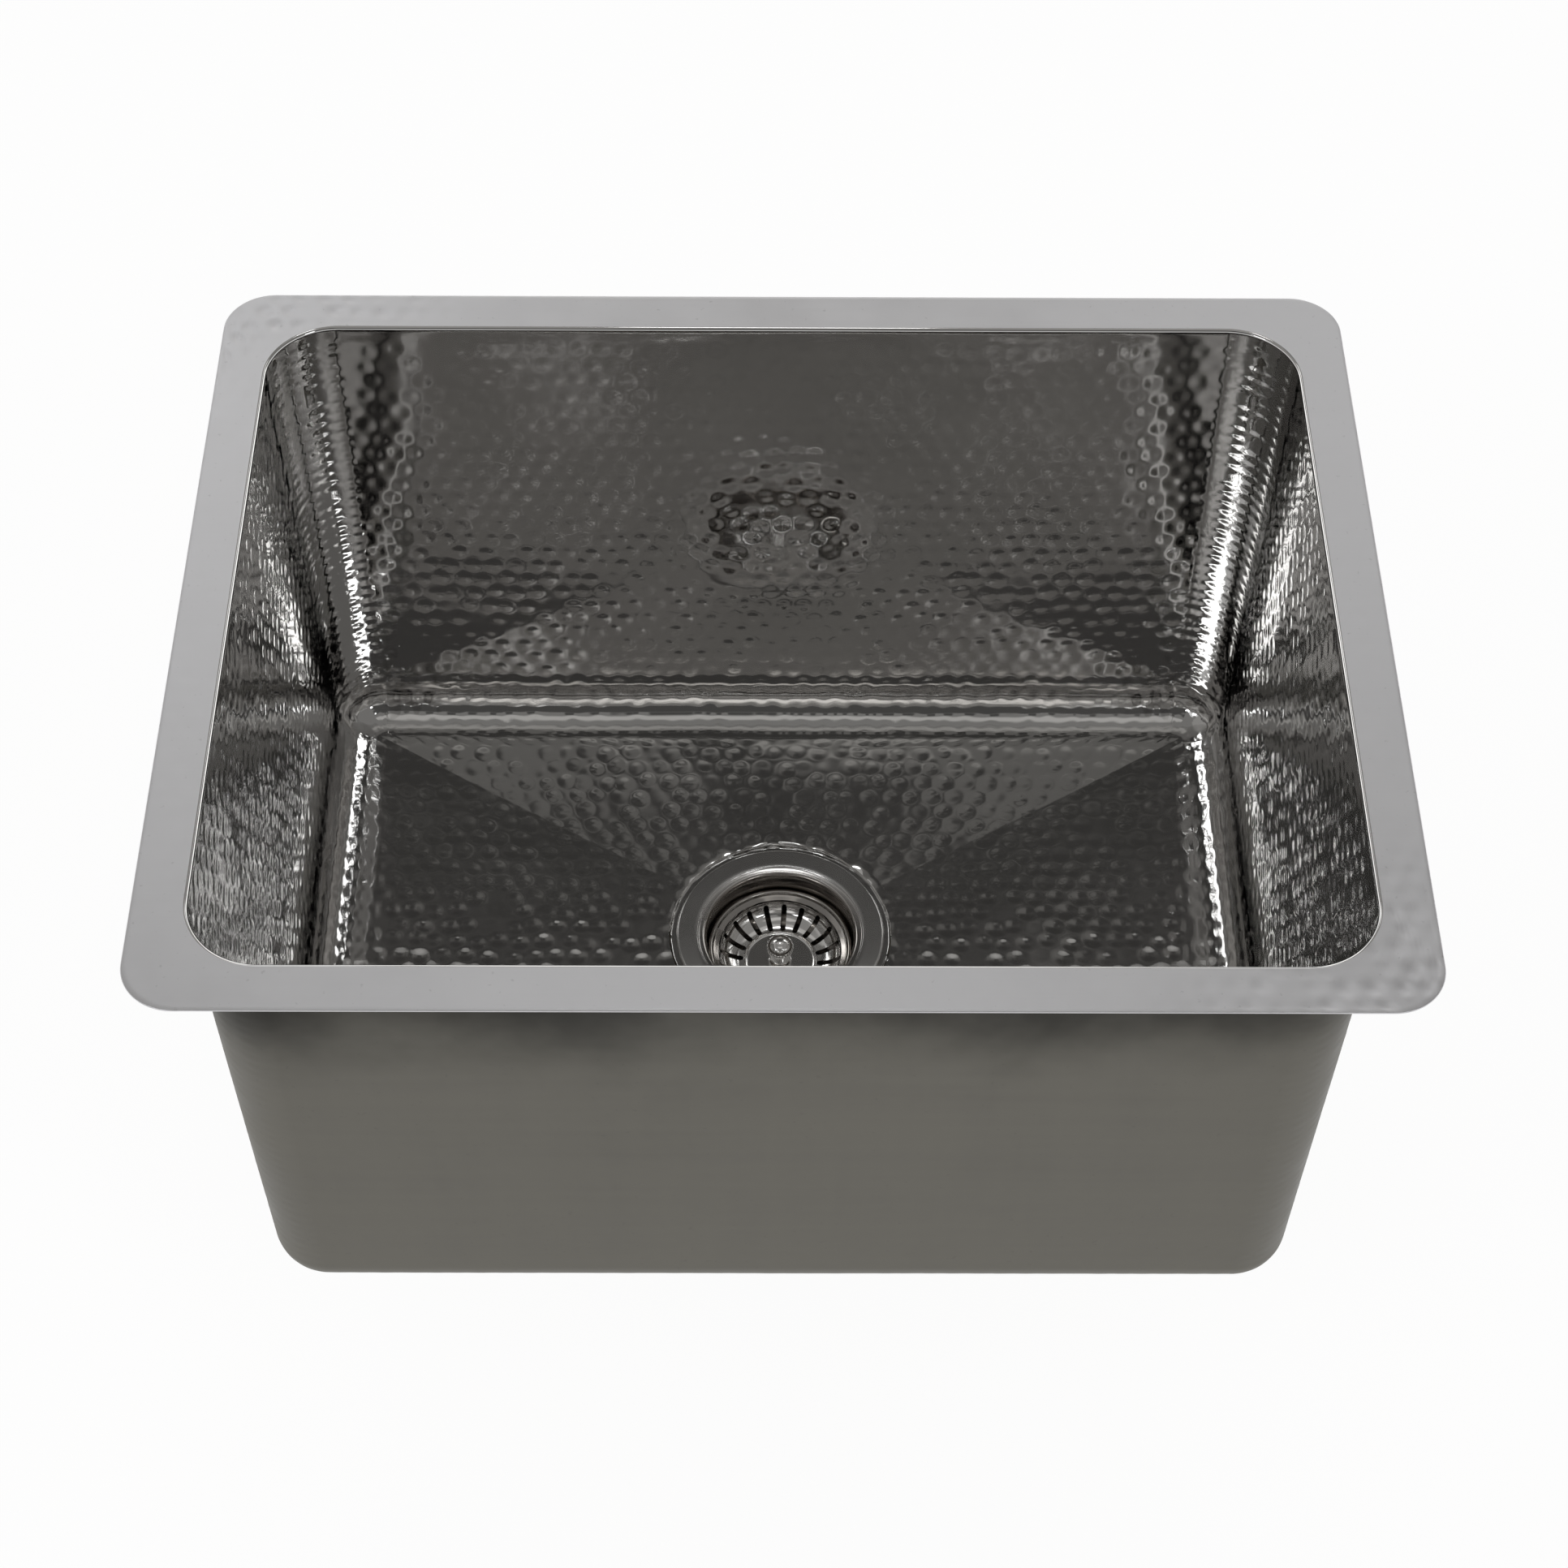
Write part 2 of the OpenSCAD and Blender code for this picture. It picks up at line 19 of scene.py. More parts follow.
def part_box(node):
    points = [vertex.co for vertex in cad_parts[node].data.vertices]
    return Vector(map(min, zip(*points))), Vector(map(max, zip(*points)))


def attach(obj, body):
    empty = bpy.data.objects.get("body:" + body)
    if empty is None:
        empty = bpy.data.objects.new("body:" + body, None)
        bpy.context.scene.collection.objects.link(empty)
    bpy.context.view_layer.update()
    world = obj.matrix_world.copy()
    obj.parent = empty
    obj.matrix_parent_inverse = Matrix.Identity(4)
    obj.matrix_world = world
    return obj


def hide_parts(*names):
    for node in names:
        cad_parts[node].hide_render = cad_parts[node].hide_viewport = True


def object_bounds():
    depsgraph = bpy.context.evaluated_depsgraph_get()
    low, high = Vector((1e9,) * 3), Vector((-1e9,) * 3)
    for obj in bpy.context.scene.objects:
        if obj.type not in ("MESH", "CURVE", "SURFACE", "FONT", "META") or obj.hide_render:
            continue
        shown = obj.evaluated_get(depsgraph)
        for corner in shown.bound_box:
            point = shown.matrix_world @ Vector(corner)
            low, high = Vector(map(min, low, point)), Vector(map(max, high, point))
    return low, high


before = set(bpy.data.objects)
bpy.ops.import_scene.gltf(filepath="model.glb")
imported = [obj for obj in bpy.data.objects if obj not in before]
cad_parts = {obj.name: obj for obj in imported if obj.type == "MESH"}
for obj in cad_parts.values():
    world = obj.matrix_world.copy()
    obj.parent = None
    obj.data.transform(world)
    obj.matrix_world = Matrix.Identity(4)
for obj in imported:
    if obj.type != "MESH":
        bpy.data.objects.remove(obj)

CAD_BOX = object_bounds()
LOG = logging.getLogger("sink")


# Surfaces


def smoothstep(low: float, high: float, x: np.ndarray) -> np.ndarray:
    """A smooth rise from 0 at low to 1 at high, which is 3t squared minus 2t cubed.

    Args:
        low: Value at which the rise starts.
        high: Value at which the rise ends.
        x: Values to map.

    Returns:
        The share of the rise at each value.
    """
    t = np.clip((x - low) / (high - low), 0.0, 1.0)
    return t * t * (3.0 - 2.0 * t)


def arc(centre: tuple[float, float], radius: float, start: float, end: float, steps: int) -> np.ndarray:
    """Points of a circle's arc in a section plane, evenly spaced by angle.

    Args:
        centre: Radius and height of the arc's centre.
        radius: Radius of the arc.
        start: First angle, in degrees.
        end: Last angle, in degrees.
        steps: Number of steps.

    Returns:
        An array of steps + 1 points, each a radius and a height.
    """
    a = np.radians(np.linspace(start, end, steps + 1))
    return np.stack([centre[0] + radius * np.cos(a), centre[1] + radius * np.sin(a)], axis=1)


def line(start: tuple[float, float], end: tuple[float, float], steps: int) -> np.ndarray:
    """Points of a straight line in a section plane, evenly spaced, without the last one.

    Args:
        start: First point.
        end: Point at which the line ends.
        steps: Number of points.

    Returns:
        An array of that many points.
    """
    t = np.linspace(0.0, 1.0, steps, endpoint=False)[:, None]
    return np.array(start) * (1.0 - t) + np.array(end) * t


def grid_index(rows: int, columns: int, wrap: bool) -> np.ndarray:
    """Numbers of the four points round each cell of a grid.

    Args:
        rows: Rows of points.
        columns: Columns of points.
        wrap: Whether the last column joins the first.

    Returns:
        An array of cells by four, in the order of a walk round each cell.
    """
    count = columns if wrap else columns - 1
    r, c = np.meshgrid(np.arange(rows - 1), np.arange(count), indexing="ij")
    n = (c + 1) % columns
    return np.stack([r * columns + c, r * columns + n, (r + 1) * columns + n, (r + 1) * columns + c], -1)


def shell(face: np.ndarray, back: np.ndarray, wrap: bool, keep: np.ndarray | None = None) -> tuple:
    """A closed shell between two grids of points, with a wall round every edge and hole.

    A wall stands on each side of a cell that is kept where the next cell isn't, or where the grid ends.

    Args:
        face: Points of the shown face, rows by columns by three.
        back: Points of the far face, on the same grid.
        wrap: Whether the last column joins the first.
        keep: Cells that are there. All of them are if it is left out.

    Returns:
        Points, and faces of four as an array of point numbers.
    """
    rows, columns = face.shape[:2]
    cells = grid_index(rows, columns, wrap)
    if keep is None:
        keep = np.ones(cells.shape[:2], bool)
    offset = rows * columns
    quads = [cells[keep], cells[keep][:, ::-1] + offset]
    padded = np.zeros((keep.shape[0] + 2, keep.shape[1] + 2), bool)
    padded[1:-1, 1:-1] = keep
    if wrap:
        padded[1:-1, 0] = keep[:, -1]
        padded[1:-1, -1] = keep[:, 0]
    sides = [((-1, 0), (1, 0)), ((0, 1), (2, 1)), ((1, 0), (3, 2)), ((0, -1), (0, 3))]
    for (dr, dc), (a, b) in sides:
        beyond = padded[1 + dr:1 + dr + keep.shape[0], 1 + dc:1 + dc + keep.shape[1]]
        edge = cells[keep & ~beyond]
        quads.append(np.stack([edge[:, a], edge[:, b], edge[:, b] + offset, edge[:, a] + offset], 1))
    points = np.concatenate([face.reshape(-1, 3), back.reshape(-1, 3)])
    return points, np.concatenate(quads)


def ring(rows: np.ndarray) -> tuple:
    """A closed ring: a grid whose rows and columns both join up.

    Args:
        rows: Points of the grid, rows by columns by three.

    Returns:
        Points, and faces of four as an array of point numbers.
    """
    count, columns = rows.shape[:2]
    cells = grid_index(count + 1, columns, True).reshape(-1, 4) % (count * columns)
    return rows.reshape(-1, 3), cells


def turned(outline: np.ndarray, segments: int, centre: tuple[float, float]) -> np.ndarray:
    """A section turned once round an upright axis.

    The point at angle a is the centre plus the radius times (cos a, sin a), at the point's height.

    Args:
        outline: Radius and height of each point of the section.
        segments: Number of steps round the axis.
        centre: Place of the axis.

    Returns:
        Points, outline by segments by three.
    """
    a = np.linspace(0.0, 2.0 * math.pi, segments, endpoint=False)
    radius, height = outline[:, :1], outline[:, 1:]
    x = centre[0] + radius * np.cos(a)
    y = centre[1] + radius * np.sin(a)
    return np.stack([x, y, np.broadcast_to(height, x.shape)], -1)


@dataclass
class Piece:
    """One shown piece, as points and faces that are still arrays.

    The first faces, as many as near counts, are on its near side.
    """

    name: str
    points: np.ndarray
    quads: np.ndarray
    triangles: np.ndarray = field(default_factory=lambda: np.zeros((0, 3), int))
    near: int = 0

    def outward(self) -> "Piece":
        """Turn all faces round if they enclose a negative volume, so that they point outwards."""
        tris = np.concatenate([self.quads[:, [0, 1, 2]], self.quads[:, [0, 2, 3]], self.triangles])
        a, b, c = (self.points[tris[:, k]] for k in range(3))
        if np.einsum("ij,ij->i", a, np.cross(b, c)).sum() < 0.0:
            self.quads = self.quads[:, ::-1]
            self.triangles = self.triangles[:, ::-1]
        return self

    def build(self, crease: float) -> bpy.types.Object:
        """Make the mesh and its object, which sits at the origin.

        Args:
            crease: Angle between faces, in degrees, past which an edge stays sharp.

        Returns:
            The object.
        """
        self.outward()
        mesh = bpy.data.meshes.new(self.name)
        four, three = len(self.quads), len(self.triangles)
        mesh.vertices.add(len(self.points))
        mesh.vertices.foreach_set("co", self.points.astype(np.float32).ravel())
        corners = np.concatenate([self.quads.ravel(), self.triangles.ravel()]).astype(np.int32)
        mesh.loops.add(len(corners))
        mesh.loops.foreach_set("vertex_index", corners)
        mesh.polygons.add(four + three)
        starts = np.concatenate([4 * np.arange(four), 4 * four + 3 * np.arange(three)])
        mesh.polygons.foreach_set("loop_start", starts.astype(np.int32))
        mesh.update(calc_edges=True)
        mesh.validate()
        mesh.shade_smooth()
        mesh.set_sharp_from_angle(angle=math.radians(crease))
        obj = bpy.data.objects.new(self.name, mesh)
        bpy.context.scene.collection.objects.link(obj)
        return obj


def place(piece: Piece, material: bpy.types.Material, body: str, node: str,
          crease: float = 40.0, far: bpy.types.Material | None = None) -> bpy.types.Object:
    """Build a piece, give it its finish, and let it stand for a solid of the frame.

    Args:
        piece: The piece.
        material: Its finish.
        body: Body that it moves with.
        node: Solid that it stands for.
        crease: Angle, in degrees, past which an edge stays sharp.
        far: Finish of the faces that aren't on the piece's near side, if it is another one.

    Returns:
        The object.
    """
    obj = piece.build(crease)
    obj.data.materials.append(material)
    if far:
        obj.data.materials.append(far)
        index = np.ones(len(obj.data.polygons), np.int32)
        index[:piece.near] = 0
        obj.data.polygons.foreach_set("material_index", index)
    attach(obj, body)
    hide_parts(node)
    triangles = 2 * len(piece.quads) + len(piece.triangles)
    LOG.info("%s: %d triangles, stands for %s on body %s", piece.name, triangles, node, body)
    return obj


# Hammering


@dataclass
class Dents:
    """Rows of hammer dents, every second row set over by the stagger, each dent round or less tall."""

    pitch: float = 0.0123
    row: float = 0.0104
    radius: float = 0.0061
    depth: float = 0.00023
    jitter: float = 0.17
    stagger: float = 0.5
    tall: float = 1.0
    seed: int = 7
    around: int = 64

    def height(self, u: np.ndarray, v: np.ndarray) -> np.ndarray:
        """Height of the dented face at each point, never above 0.

        A dent at distance q radii from its middle is depth times (1 - q squared) squared deep, and
        where two dents meet the deeper one counts.

        Args:
            u: Distance along the rows.
            v: Distance across the rows.

        Returns:
            The height, with the shape of u and v.
        """
        chance = np.random.default_rng(self.seed).random((4, 96, self.around))
        column, line_no = np.floor(u / self.pitch).astype(int), np.floor(v / self.row).astype(int)
        lowest = np.zeros(np.broadcast(u, v).shape)
        for down in (-1, 0, 1):
            for over in (-1, 0, 1):
                j, i = line_no + down, column + over
                pick = chance[:, j % 96, i % self.around]
                cu = (i + 0.25 + self.stagger * (j % 2) + self.jitter * (2.0 * pick[0] - 1.0)) * self.pitch
                cv = (j + 0.5 + self.jitter * (2.0 * pick[1] - 1.0)) * self.row
                size = self.radius * (0.82 + 0.34 * pick[2])
                q = np.clip(((u - cu) ** 2 + ((v - cv) / self.tall) ** 2) / size ** 2, 0.0, 1.0)
                deep = self.depth * np.where(pick[3] < 0.07, 0.12, 0.55 + 0.75 * pick[3])
                lowest = np.minimum(lowest, -deep * (1.0 - q) ** 2)
        return lowest


@dataclass
class Waves:
    """Slow waves that hammering leaves in a sheet, as a sum of sines through space."""

    height: float = 0.00011
    longest: float = 0.15
    shortest: float = 0.05
    count: int = 9
    seed: int = 23

    def at(self, points: np.ndarray) -> np.ndarray:
        """Height of the waves at each point.

        Args:
            points: Any array of points, with three numbers each.

        Returns:
            The height, with the shape of the points.
        """
        rng = np.random.default_rng(self.seed)
        total = np.zeros(points.shape[:-1])
        for length in np.geomspace(self.longest, self.shortest, self.count):
            way = rng.normal(size=3)
            way *= 2.0 * math.pi / length / np.linalg.norm(way)
            total += np.sin(points @ way + rng.uniform(0.0, 2.0 * math.pi)) * length / self.longest
        return self.height * total


# Bowl


class Wall(Enum):
    """The four walls, by the quarter turn of their outward direction from +X."""

    RIGHT = 0
    BACK = 1
    LEFT = 2
    FRONT = 3


@dataclass
class Course:
    """Columns round the bowl: points of the path, outward directions, and the distance round."""

    path: np.ndarray
    normal: np.ndarray
    along: np.ndarray


COURSE_PARTS = ("path", "normal", "along")


@dataclass
class Section:
    """The bowl's section from the rim down, as offsets from the path of the upright corners."""

    offset: np.ndarray
    height: np.ndarray
    out: np.ndarray
    up: np.ndarray
    length: np.ndarray


@dataclass
class Bowl:
    """The rim and the bowl, hammered from one sheet."""

    half_length: float
    half_width: float
    drain_y: float
    land: float = 0.0254
    rim_corner_r: float = 0.0254
    rim_bend_r: float = 0.0018
    sheet: float = 0.0012
    wall_depth: float = 0.2968
    draft: float = 0.0074
    corner_r: float = 0.035
    floor_bend_r: float = 0.022
    floor_fall: float = 0.008
    fall_margin: float = 0.003
    dish_r: float = 0.0608
    dish_edge: float = 0.0019
    dish_uneven: float = 0.00035
    hole_r: float = 0.04445
    step: float = 0.0019
    corner_step: float = 0.0011
    bend_step: float = 0.0013
    floor_rows: int = 88
    steep_share: float = 0.28
    steep_reach: float = 0.4
    wall_dents: Dents = field(default_factory=lambda: Dents(around=148, row=0.0108, seed=11))
    corner_dents: Dents = field(default_factory=lambda: Dents(around=146, row=0.0072, radius=0.0064, depth=0.00030,
                                                              jitter=0.06, stagger=0.0, tall=0.66, seed=17))
    floor_dents: Dents = field(default_factory=lambda: Dents(seed=5))
    rim_dents: Dents = field(default_factory=lambda: Dents(pitch=0.0125, row=0.0105, depth=0.00048, seed=31))
    waves: Waves = field(default_factory=Waves)

    def __post_init__(self) -> None:
        """Work out the path of the corners' centres and the bends from the driving sizes."""
        self.open_x = self.half_length - self.land
        self.open_y = self.half_width - self.land
        self.path_x = self.open_x - self.corner_r
        self.path_y = self.open_y - self.corner_r
        self.lean = math.atan(self.draft / self.wall_depth)
        self.bend_z = self.floor_bend_r - self.wall_depth
        inset = self.floor_bend_r / math.cos(self.lean) - self.draft * self.bend_z / self.wall_depth
        self.bend_offset = self.corner_r - inset
        self.lip_offset = self.corner_r + self.rim_bend_r * (1.0 / math.cos(self.lean) - math.tan(self.lean))
        self.fall_x = self.path_x + self.bend_offset - self.fall_margin
        self.fall_y = self.path_y + self.bend_offset - self.fall_margin
        self.mean_offset = self.corner_r - self.draft / 2.0
        perimeter = 4.0 * (self.path_x + self.path_y) + 2.0 * math.pi * self.mean_offset
        for dents in (self.wall_dents, self.corner_dents):
            dents.pitch = perimeter / dents.around

    def straight(self, wall: Wall, step: float) -> Course:
        """The course along the straight part of a wall, where the path moves and the direction stays.

        Args:
            wall: Which wall.
            step: Distance between columns.

        Returns:
            The course.
        """
        half, reach = self.halves(wall)
        u = np.linspace(-half, half, round(2.0 * half / step) + 1)
        base = wall.value * math.pi / 2.0
        out, tangent = np.array([math.cos(base), math.sin(base)]), np.array([-math.sin(base), math.cos(base)])
        return Course(out * reach + tangent * u[:, None], np.tile(out, (len(u), 1)), self.start_of(wall) + u)

    def turn(self, wall: Wall, step: float) -> Course:
        """The course round the corner after a wall, where the path stays and the direction turns.

        Args:
            wall: The wall before the corner.
            step: Distance between columns.

        Returns:
            The course. Its middle column is the middle of the corner.
        """
        half, reach = self.halves(wall)
        angle = np.linspace(0.0, math.pi / 2.0, 2 * round(self.mean_offset * math.pi / 4.0 / step) + 1)
        base = wall.value * math.pi / 2.0
        centre = np.array([math.cos(base), math.sin(base)]) * reach + np.array([-math.sin(base), math.cos(base)]) * half
        normal = np.stack([np.cos(base + angle), np.sin(base + angle)], 1)
        return Course(np.tile(centre, (len(angle), 1)), normal, self.start_of(wall) + half + angle * self.mean_offset)

    def loop(self, step: float) -> Course:
        """The whole course once round, from the front end of the right wall.

        Args:
            step: Distance between columns.

        Returns:
            The course, without a last column on top of the first.
        """
        parts = [part for wall in Wall for part in (self.straight(wall, step), self.turn(wall, step))]
        return Course(*(np.concatenate([getattr(part, name)[:-1] for part in parts]) for name in COURSE_PARTS))

    def halves(self, wall: Wall) -> tuple[float, float]:
        """Half the length of a wall's path, and the distance of the path from the middle."""
        across = wall in (Wall.BACK, Wall.FRONT)
        return (self.path_x, self.path_y) if across else (self.path_y, self.path_x)

    def start_of(self, wall: Wall) -> float:
        """Distance round the bowl to the middle of a wall."""
        corner = self.mean_offset * math.pi / 2.0
        halves = [self.path_y, self.path_x, self.path_y, self.path_x]
        return sum(2.0 * h + corner for h in halves[:wall.value]) + halves[wall.value] + corner / 2.0

    def section(self, step: float) -> Section:
        """The inner face's section: the bend under the rim, the wall and the bend into the floor.

        Args:
            step: Distance between rows.

        Returns:
            The section.
        """
        lean = math.degrees(self.lean)
        lip = arc((self.lip_offset, -self.rim_bend_r), self.rim_bend_r, 90.0, 180.0 - lean, 6)
        curved = round(self.floor_bend_r * (math.pi / 2.0 - self.lean) / min(step, self.bend_step))
        bend = arc((self.bend_offset, self.bend_z), self.floor_bend_r, -lean, -90.0, curved)
        rows = round(float(np.linalg.norm(bend[0] - lip[-1])) / step)
        points = np.concatenate([lip[:-1], line(tuple(lip[-1]), tuple(bend[0]), rows), bend])
        lip_angle = np.radians(np.linspace(90.0, 180.0 - lean, 7))[:-1]
        bend_angle = np.radians(np.linspace(180.0 - lean, 90.0, curved + 1))
        angle = np.concatenate([lip_angle, np.full(rows, math.pi - self.lean), bend_angle])
        gaps = np.linalg.norm(np.diff(points, axis=0), axis=1)
        length = np.concatenate([[0.0], np.cumsum(gaps)])
        return Section(points[:, 0], points[:, 1], np.cos(angle), np.sin(angle), length)

    def wall_marks(self, course: Course, down: np.ndarray) -> np.ndarray:
        """Height of the dents on a wall: wide ones on the straight, small close ones in the corners.

        Args:
            course: The columns.
            down: Distance down the section, rows by columns.

        Returns:
            The height, rows by columns.
        """
        round_way = np.broadcast_to(course.along, down.shape)
        in_corner = smoothstep(0.0, 0.15, np.abs(course.normal[:, 0] * course.normal[:, 1]))[None]
        in_bend = smoothstep(self.wall_depth - self.floor_bend_r, self.wall_depth - 0.5 * self.floor_bend_r, down)
        foot = smoothstep(self.wall_depth - self.floor_bend_r, self.wall_depth - 2.2 * self.floor_bend_r, down)
        side = smoothstep(0.9, 1.0, np.abs(course.normal[:, 0]))[None]
        in_corner = np.maximum(in_corner, in_bend * side)
        rear = smoothstep(0.9, 1.0, course.normal[:, 1])[None]
        ahead = smoothstep(0.02, -0.1, course.path[:, 1])[None]
        strength = 1.0 + (0.1 + 0.7 * ahead) * side * foot - 0.6 * rear * smoothstep(0.14, 0.04, down)
        wide = self.wall_dents.height(round_way, down) * strength
        return wide * (1.0 - in_corner) + self.corner_dents.height(round_way, down) * in_corner

    def crowding(self, course: Course, offset: np.ndarray) -> np.ndarray:
        """How much of the dents is left: all on the straight, less where a corner's columns crowd.

        Args:
            course: The columns.
            offset: Offset of each row from the path.

        Returns:
            The share, rows by columns.
        """
        turning = np.abs(course.normal[:, 0] * course.normal[:, 1]) > 1e-6
        return np.where(turning, smoothstep(0.004, 0.028, offset)[:, None], 1.0)

    def upright(self, name: str, course: Course, step: float) -> Piece:
        """A stretch of the walls with its bends, dented inside and nearly smooth outside.

        A point is the path's point plus the section's offset along the outward direction, moved
        along the face's own normal by the height of the dents and waves.

        Args:
            name: Name of the piece.
            course: The columns.
            step: Distance between rows.

        Returns:
            The piece.
        """
        cut, normal = self.section(step), course.normal
        offset, height = cut.offset[:, None, None], cut.height[:, None]
        flat = course.path[None] + offset * normal[None]
        base = np.concatenate([flat, np.broadcast_to(height, flat.shape[:2])[..., None]], -1)
        face = np.concatenate([cut.out[:, None, None] * normal[None],
                               np.broadcast_to(cut.up[:, None, None], (*flat.shape[:2], 1))], -1)
        down = np.broadcast_to(cut.length[:, None], flat.shape[:2])
        under_lip = smoothstep(0.003, 0.012, down)
        marks = self.wall_marks(course, down) * self.crowding(course, cut.offset) * under_lip
        lift = marks + self.waves.at(base) * under_lip
        inner = base + face * lift[..., None]
        outer = base - face * (self.sheet - 0.25 * lift)[..., None]
        points, quads = shell(inner, outer, wrap=False)
        return Piece(name, points, quads, near=(inner.shape[0] - 1) * (inner.shape[1] - 1))

    def uprights(self) -> list[Piece]:
        """The four walls and the four upright corners between them."""
        pieces = []
        for wall in Wall:
            name, following = wall.name.lower(), Wall((wall.value + 1) % 4).name.lower()
            pieces.append(self.upright(f"{name}_wall", self.straight(wall, self.step), self.step))
            corner = self.turn(wall, self.corner_step)
            pieces.append(self.upright(f"{name}_{following}_corner", corner, self.corner_step))
        return pieces

    def rim(self) -> Piece:
        """The flat rim, from the lip of the opening to the rounded outer edge.

        A point of its top lies between the lip and the outer outline at the same column, and the
        two outlines share the angle round each corner.

        Returns:
            The piece.
        """
        course = self.loop(self.step * 0.9)
        path, normal = course.path, course.normal
        inner = path + self.lip_offset * normal
        far_x, far_y = self.half_length - self.rim_corner_r, self.half_width - self.rim_corner_r
        stretch = np.array([far_x / self.path_x, far_y / self.path_y])
        outer = path * stretch + self.rim_corner_r * normal
        edge_r, flat_rows = self.sheet * 0.42, 13
        across = np.concatenate([np.linspace(0.0, 1.0, flat_rows + 1), np.ones(4), np.linspace(1.0, 0.0, 4)])
        turn = np.radians([90.0, 60.0, 30.0, 0.0])
        inset = np.concatenate([np.full(flat_rows, edge_r), edge_r * (1.0 - np.cos(turn)), [edge_r * 0.3],
                                np.full(4, edge_r)])
        drop = np.concatenate([np.zeros(flat_rows), edge_r * (1.0 - np.sin(turn)), [self.sheet - edge_r * 0.6],
                               np.full(4, self.sheet)])
        blend = across[:, None, None]
        flat = inner[None] * (1.0 - blend) + (outer[None] - normal[None] * inset[:, None, None]) * blend
        rows = np.concatenate([flat, np.broadcast_to(-drop[:, None, None], (*flat.shape[:2], 1))], -1)
        top = rows[:flat_rows + 1]
        x, y, share = top[..., 0], top[..., 1], across[:flat_rows + 1, None]
        marked = smoothstep(0.5, 0.95, np.minimum(np.abs(x) / self.half_length, np.abs(y) / self.half_width))
        strength = 0.08 + 1.2 * marked * (x * y < 0.0)
        fade = smoothstep(0.0, 0.16, share) * smoothstep(1.0, 0.9, share)
        top[..., 2] += self.rim_dents.height(x, y) * strength * fade
        points, quads = ring(rows)
        return Piece("rim", points, quads)

    def floor_height(self, x: np.ndarray, y: np.ndarray) -> np.ndarray:
        """Height of the floor: four faces fall to the drain, and the higher of two neighbours counts.

        Each face falls faster near the wall: part of its fall follows 1 - (1 - t)^2 over the first
        stretch, where t runs from the wall to the end of that stretch.

        Args:
            x: Places to the right.
            y: Places to the back.

        Returns:
            The height, without the dents.
        """
        by_x = 1.0 - np.abs(x) / self.fall_x
        ahead = y - self.drain_y
        reach = np.where(ahead > 0.0, self.fall_y - self.drain_y, self.fall_y + self.drain_y)
        by_y = 1.0 - np.abs(ahead) / reach
        part = np.clip(np.minimum(by_x, by_y), 0.0, 1.0)
        steep = 1.0 - np.clip(1.0 - part / self.steep_reach, 0.0, 1.0) ** 2
        fall = -self.floor_fall * ((1.0 - self.steep_share) * part + self.steep_share * steep)
        away = np.hypot(x, ahead)
        turn = np.arctan2(ahead, x)
        uneven = 0.5 * np.sin(7.0 * turn) + 0.3 * np.sin(13.0 * turn + 2.0) + 0.2 * np.sin(29.0 * turn + 1.0)
        edge = smoothstep(self.dish_r, self.dish_r + self.dish_edge, away + self.dish_uneven * (uneven - 1.0))
        return -self.wall_depth + fall * edge - self.floor_fall * (1.0 - edge)

    def floor(self) -> Piece:
        """The floor, from the foot of the walls' bend to the hole, with its creases to the drain.

        Each column runs straight from the outer loop to the circle of the dish. The four columns
        at the corners follow the creases.

        Returns:
            The piece.
        """
        step = self.step * 1.12
        course = self.loop(step)
        path, normal = course.path, course.normal
        outer = path + self.bend_offset * normal
        count = len(path)
        runs = [(len(self.straight(w, step).along) - 1, len(self.turn(w, step).along) - 1) for w in Wall]
        ends = np.cumsum([straight + turn for straight, turn in runs])
        middles = [end - turn // 2 for end, (_, turn) in zip(ends, runs)]
        corner_at = np.array([middles[-1] - count, *middles])
        front = math.atan2(-self.fall_y - self.drain_y, self.fall_x)
        rear = math.atan2(self.fall_y - self.drain_y, self.fall_x)
        crease = np.array([front, rear, math.pi - rear, math.pi - front, front + 2.0 * math.pi])
        angle = np.interp(np.arange(count), corner_at, crease)
        round_drain = np.stack([np.cos(angle), np.sin(angle)], 1)
        centre = np.array([0.0, self.drain_y])
        reach = self.dish_r + self.dish_edge
        share = np.linspace(0.0, 1.0, self.floor_rows)[:, None, None]
        sweep = outer[None] * (1.0 - share) + (centre + reach * round_drain)[None] * share
        radii = np.concatenate([np.linspace(reach, self.dish_r - 0.0004, 7)[1:], [0.058, 0.05, self.hole_r]])
        dish = centre + radii[:, None, None] * round_drain[None]
        flat = np.concatenate([sweep, dish])
        x, y = flat[..., 0], flat[..., 1]
        gone = np.hypot(x - outer[:, 0], y - outer[:, 1])
        down = self.section(self.step).length[-1] + gone
        from_wall = self.wall_marks(course, down) * self.crowding(course, np.array([self.bend_offset]))
        own = self.floor_dents.height(x, y) * (0.6 + 0.6 * smoothstep(0.075, 0.045, y))
        near = smoothstep(0.014, 0.003, gone)
        away = np.hypot(x, y - self.drain_y)
        marks = (from_wall * near + own * (1.0 - near)) * smoothstep(self.dish_r, self.dish_r + 0.002, away)
        base = np.stack([x, y, self.floor_height(x, y)], -1)
        top = base.copy()
        top[..., 2] += marks + self.waves.at(base) * smoothstep(self.dish_r, self.dish_r + 0.02, away)
        few = np.unique(np.concatenate([np.arange(0, self.floor_rows, 11), np.arange(self.floor_rows - 1, len(flat))]))
        under = base[few].copy()
        under[..., 2] -= self.sheet
        rows = np.concatenate([top, under[::-1]])
        points, quads = ring(rows)
        return Piece("floor", points, quads, near=(len(top) - 1) * count)


# Strainer


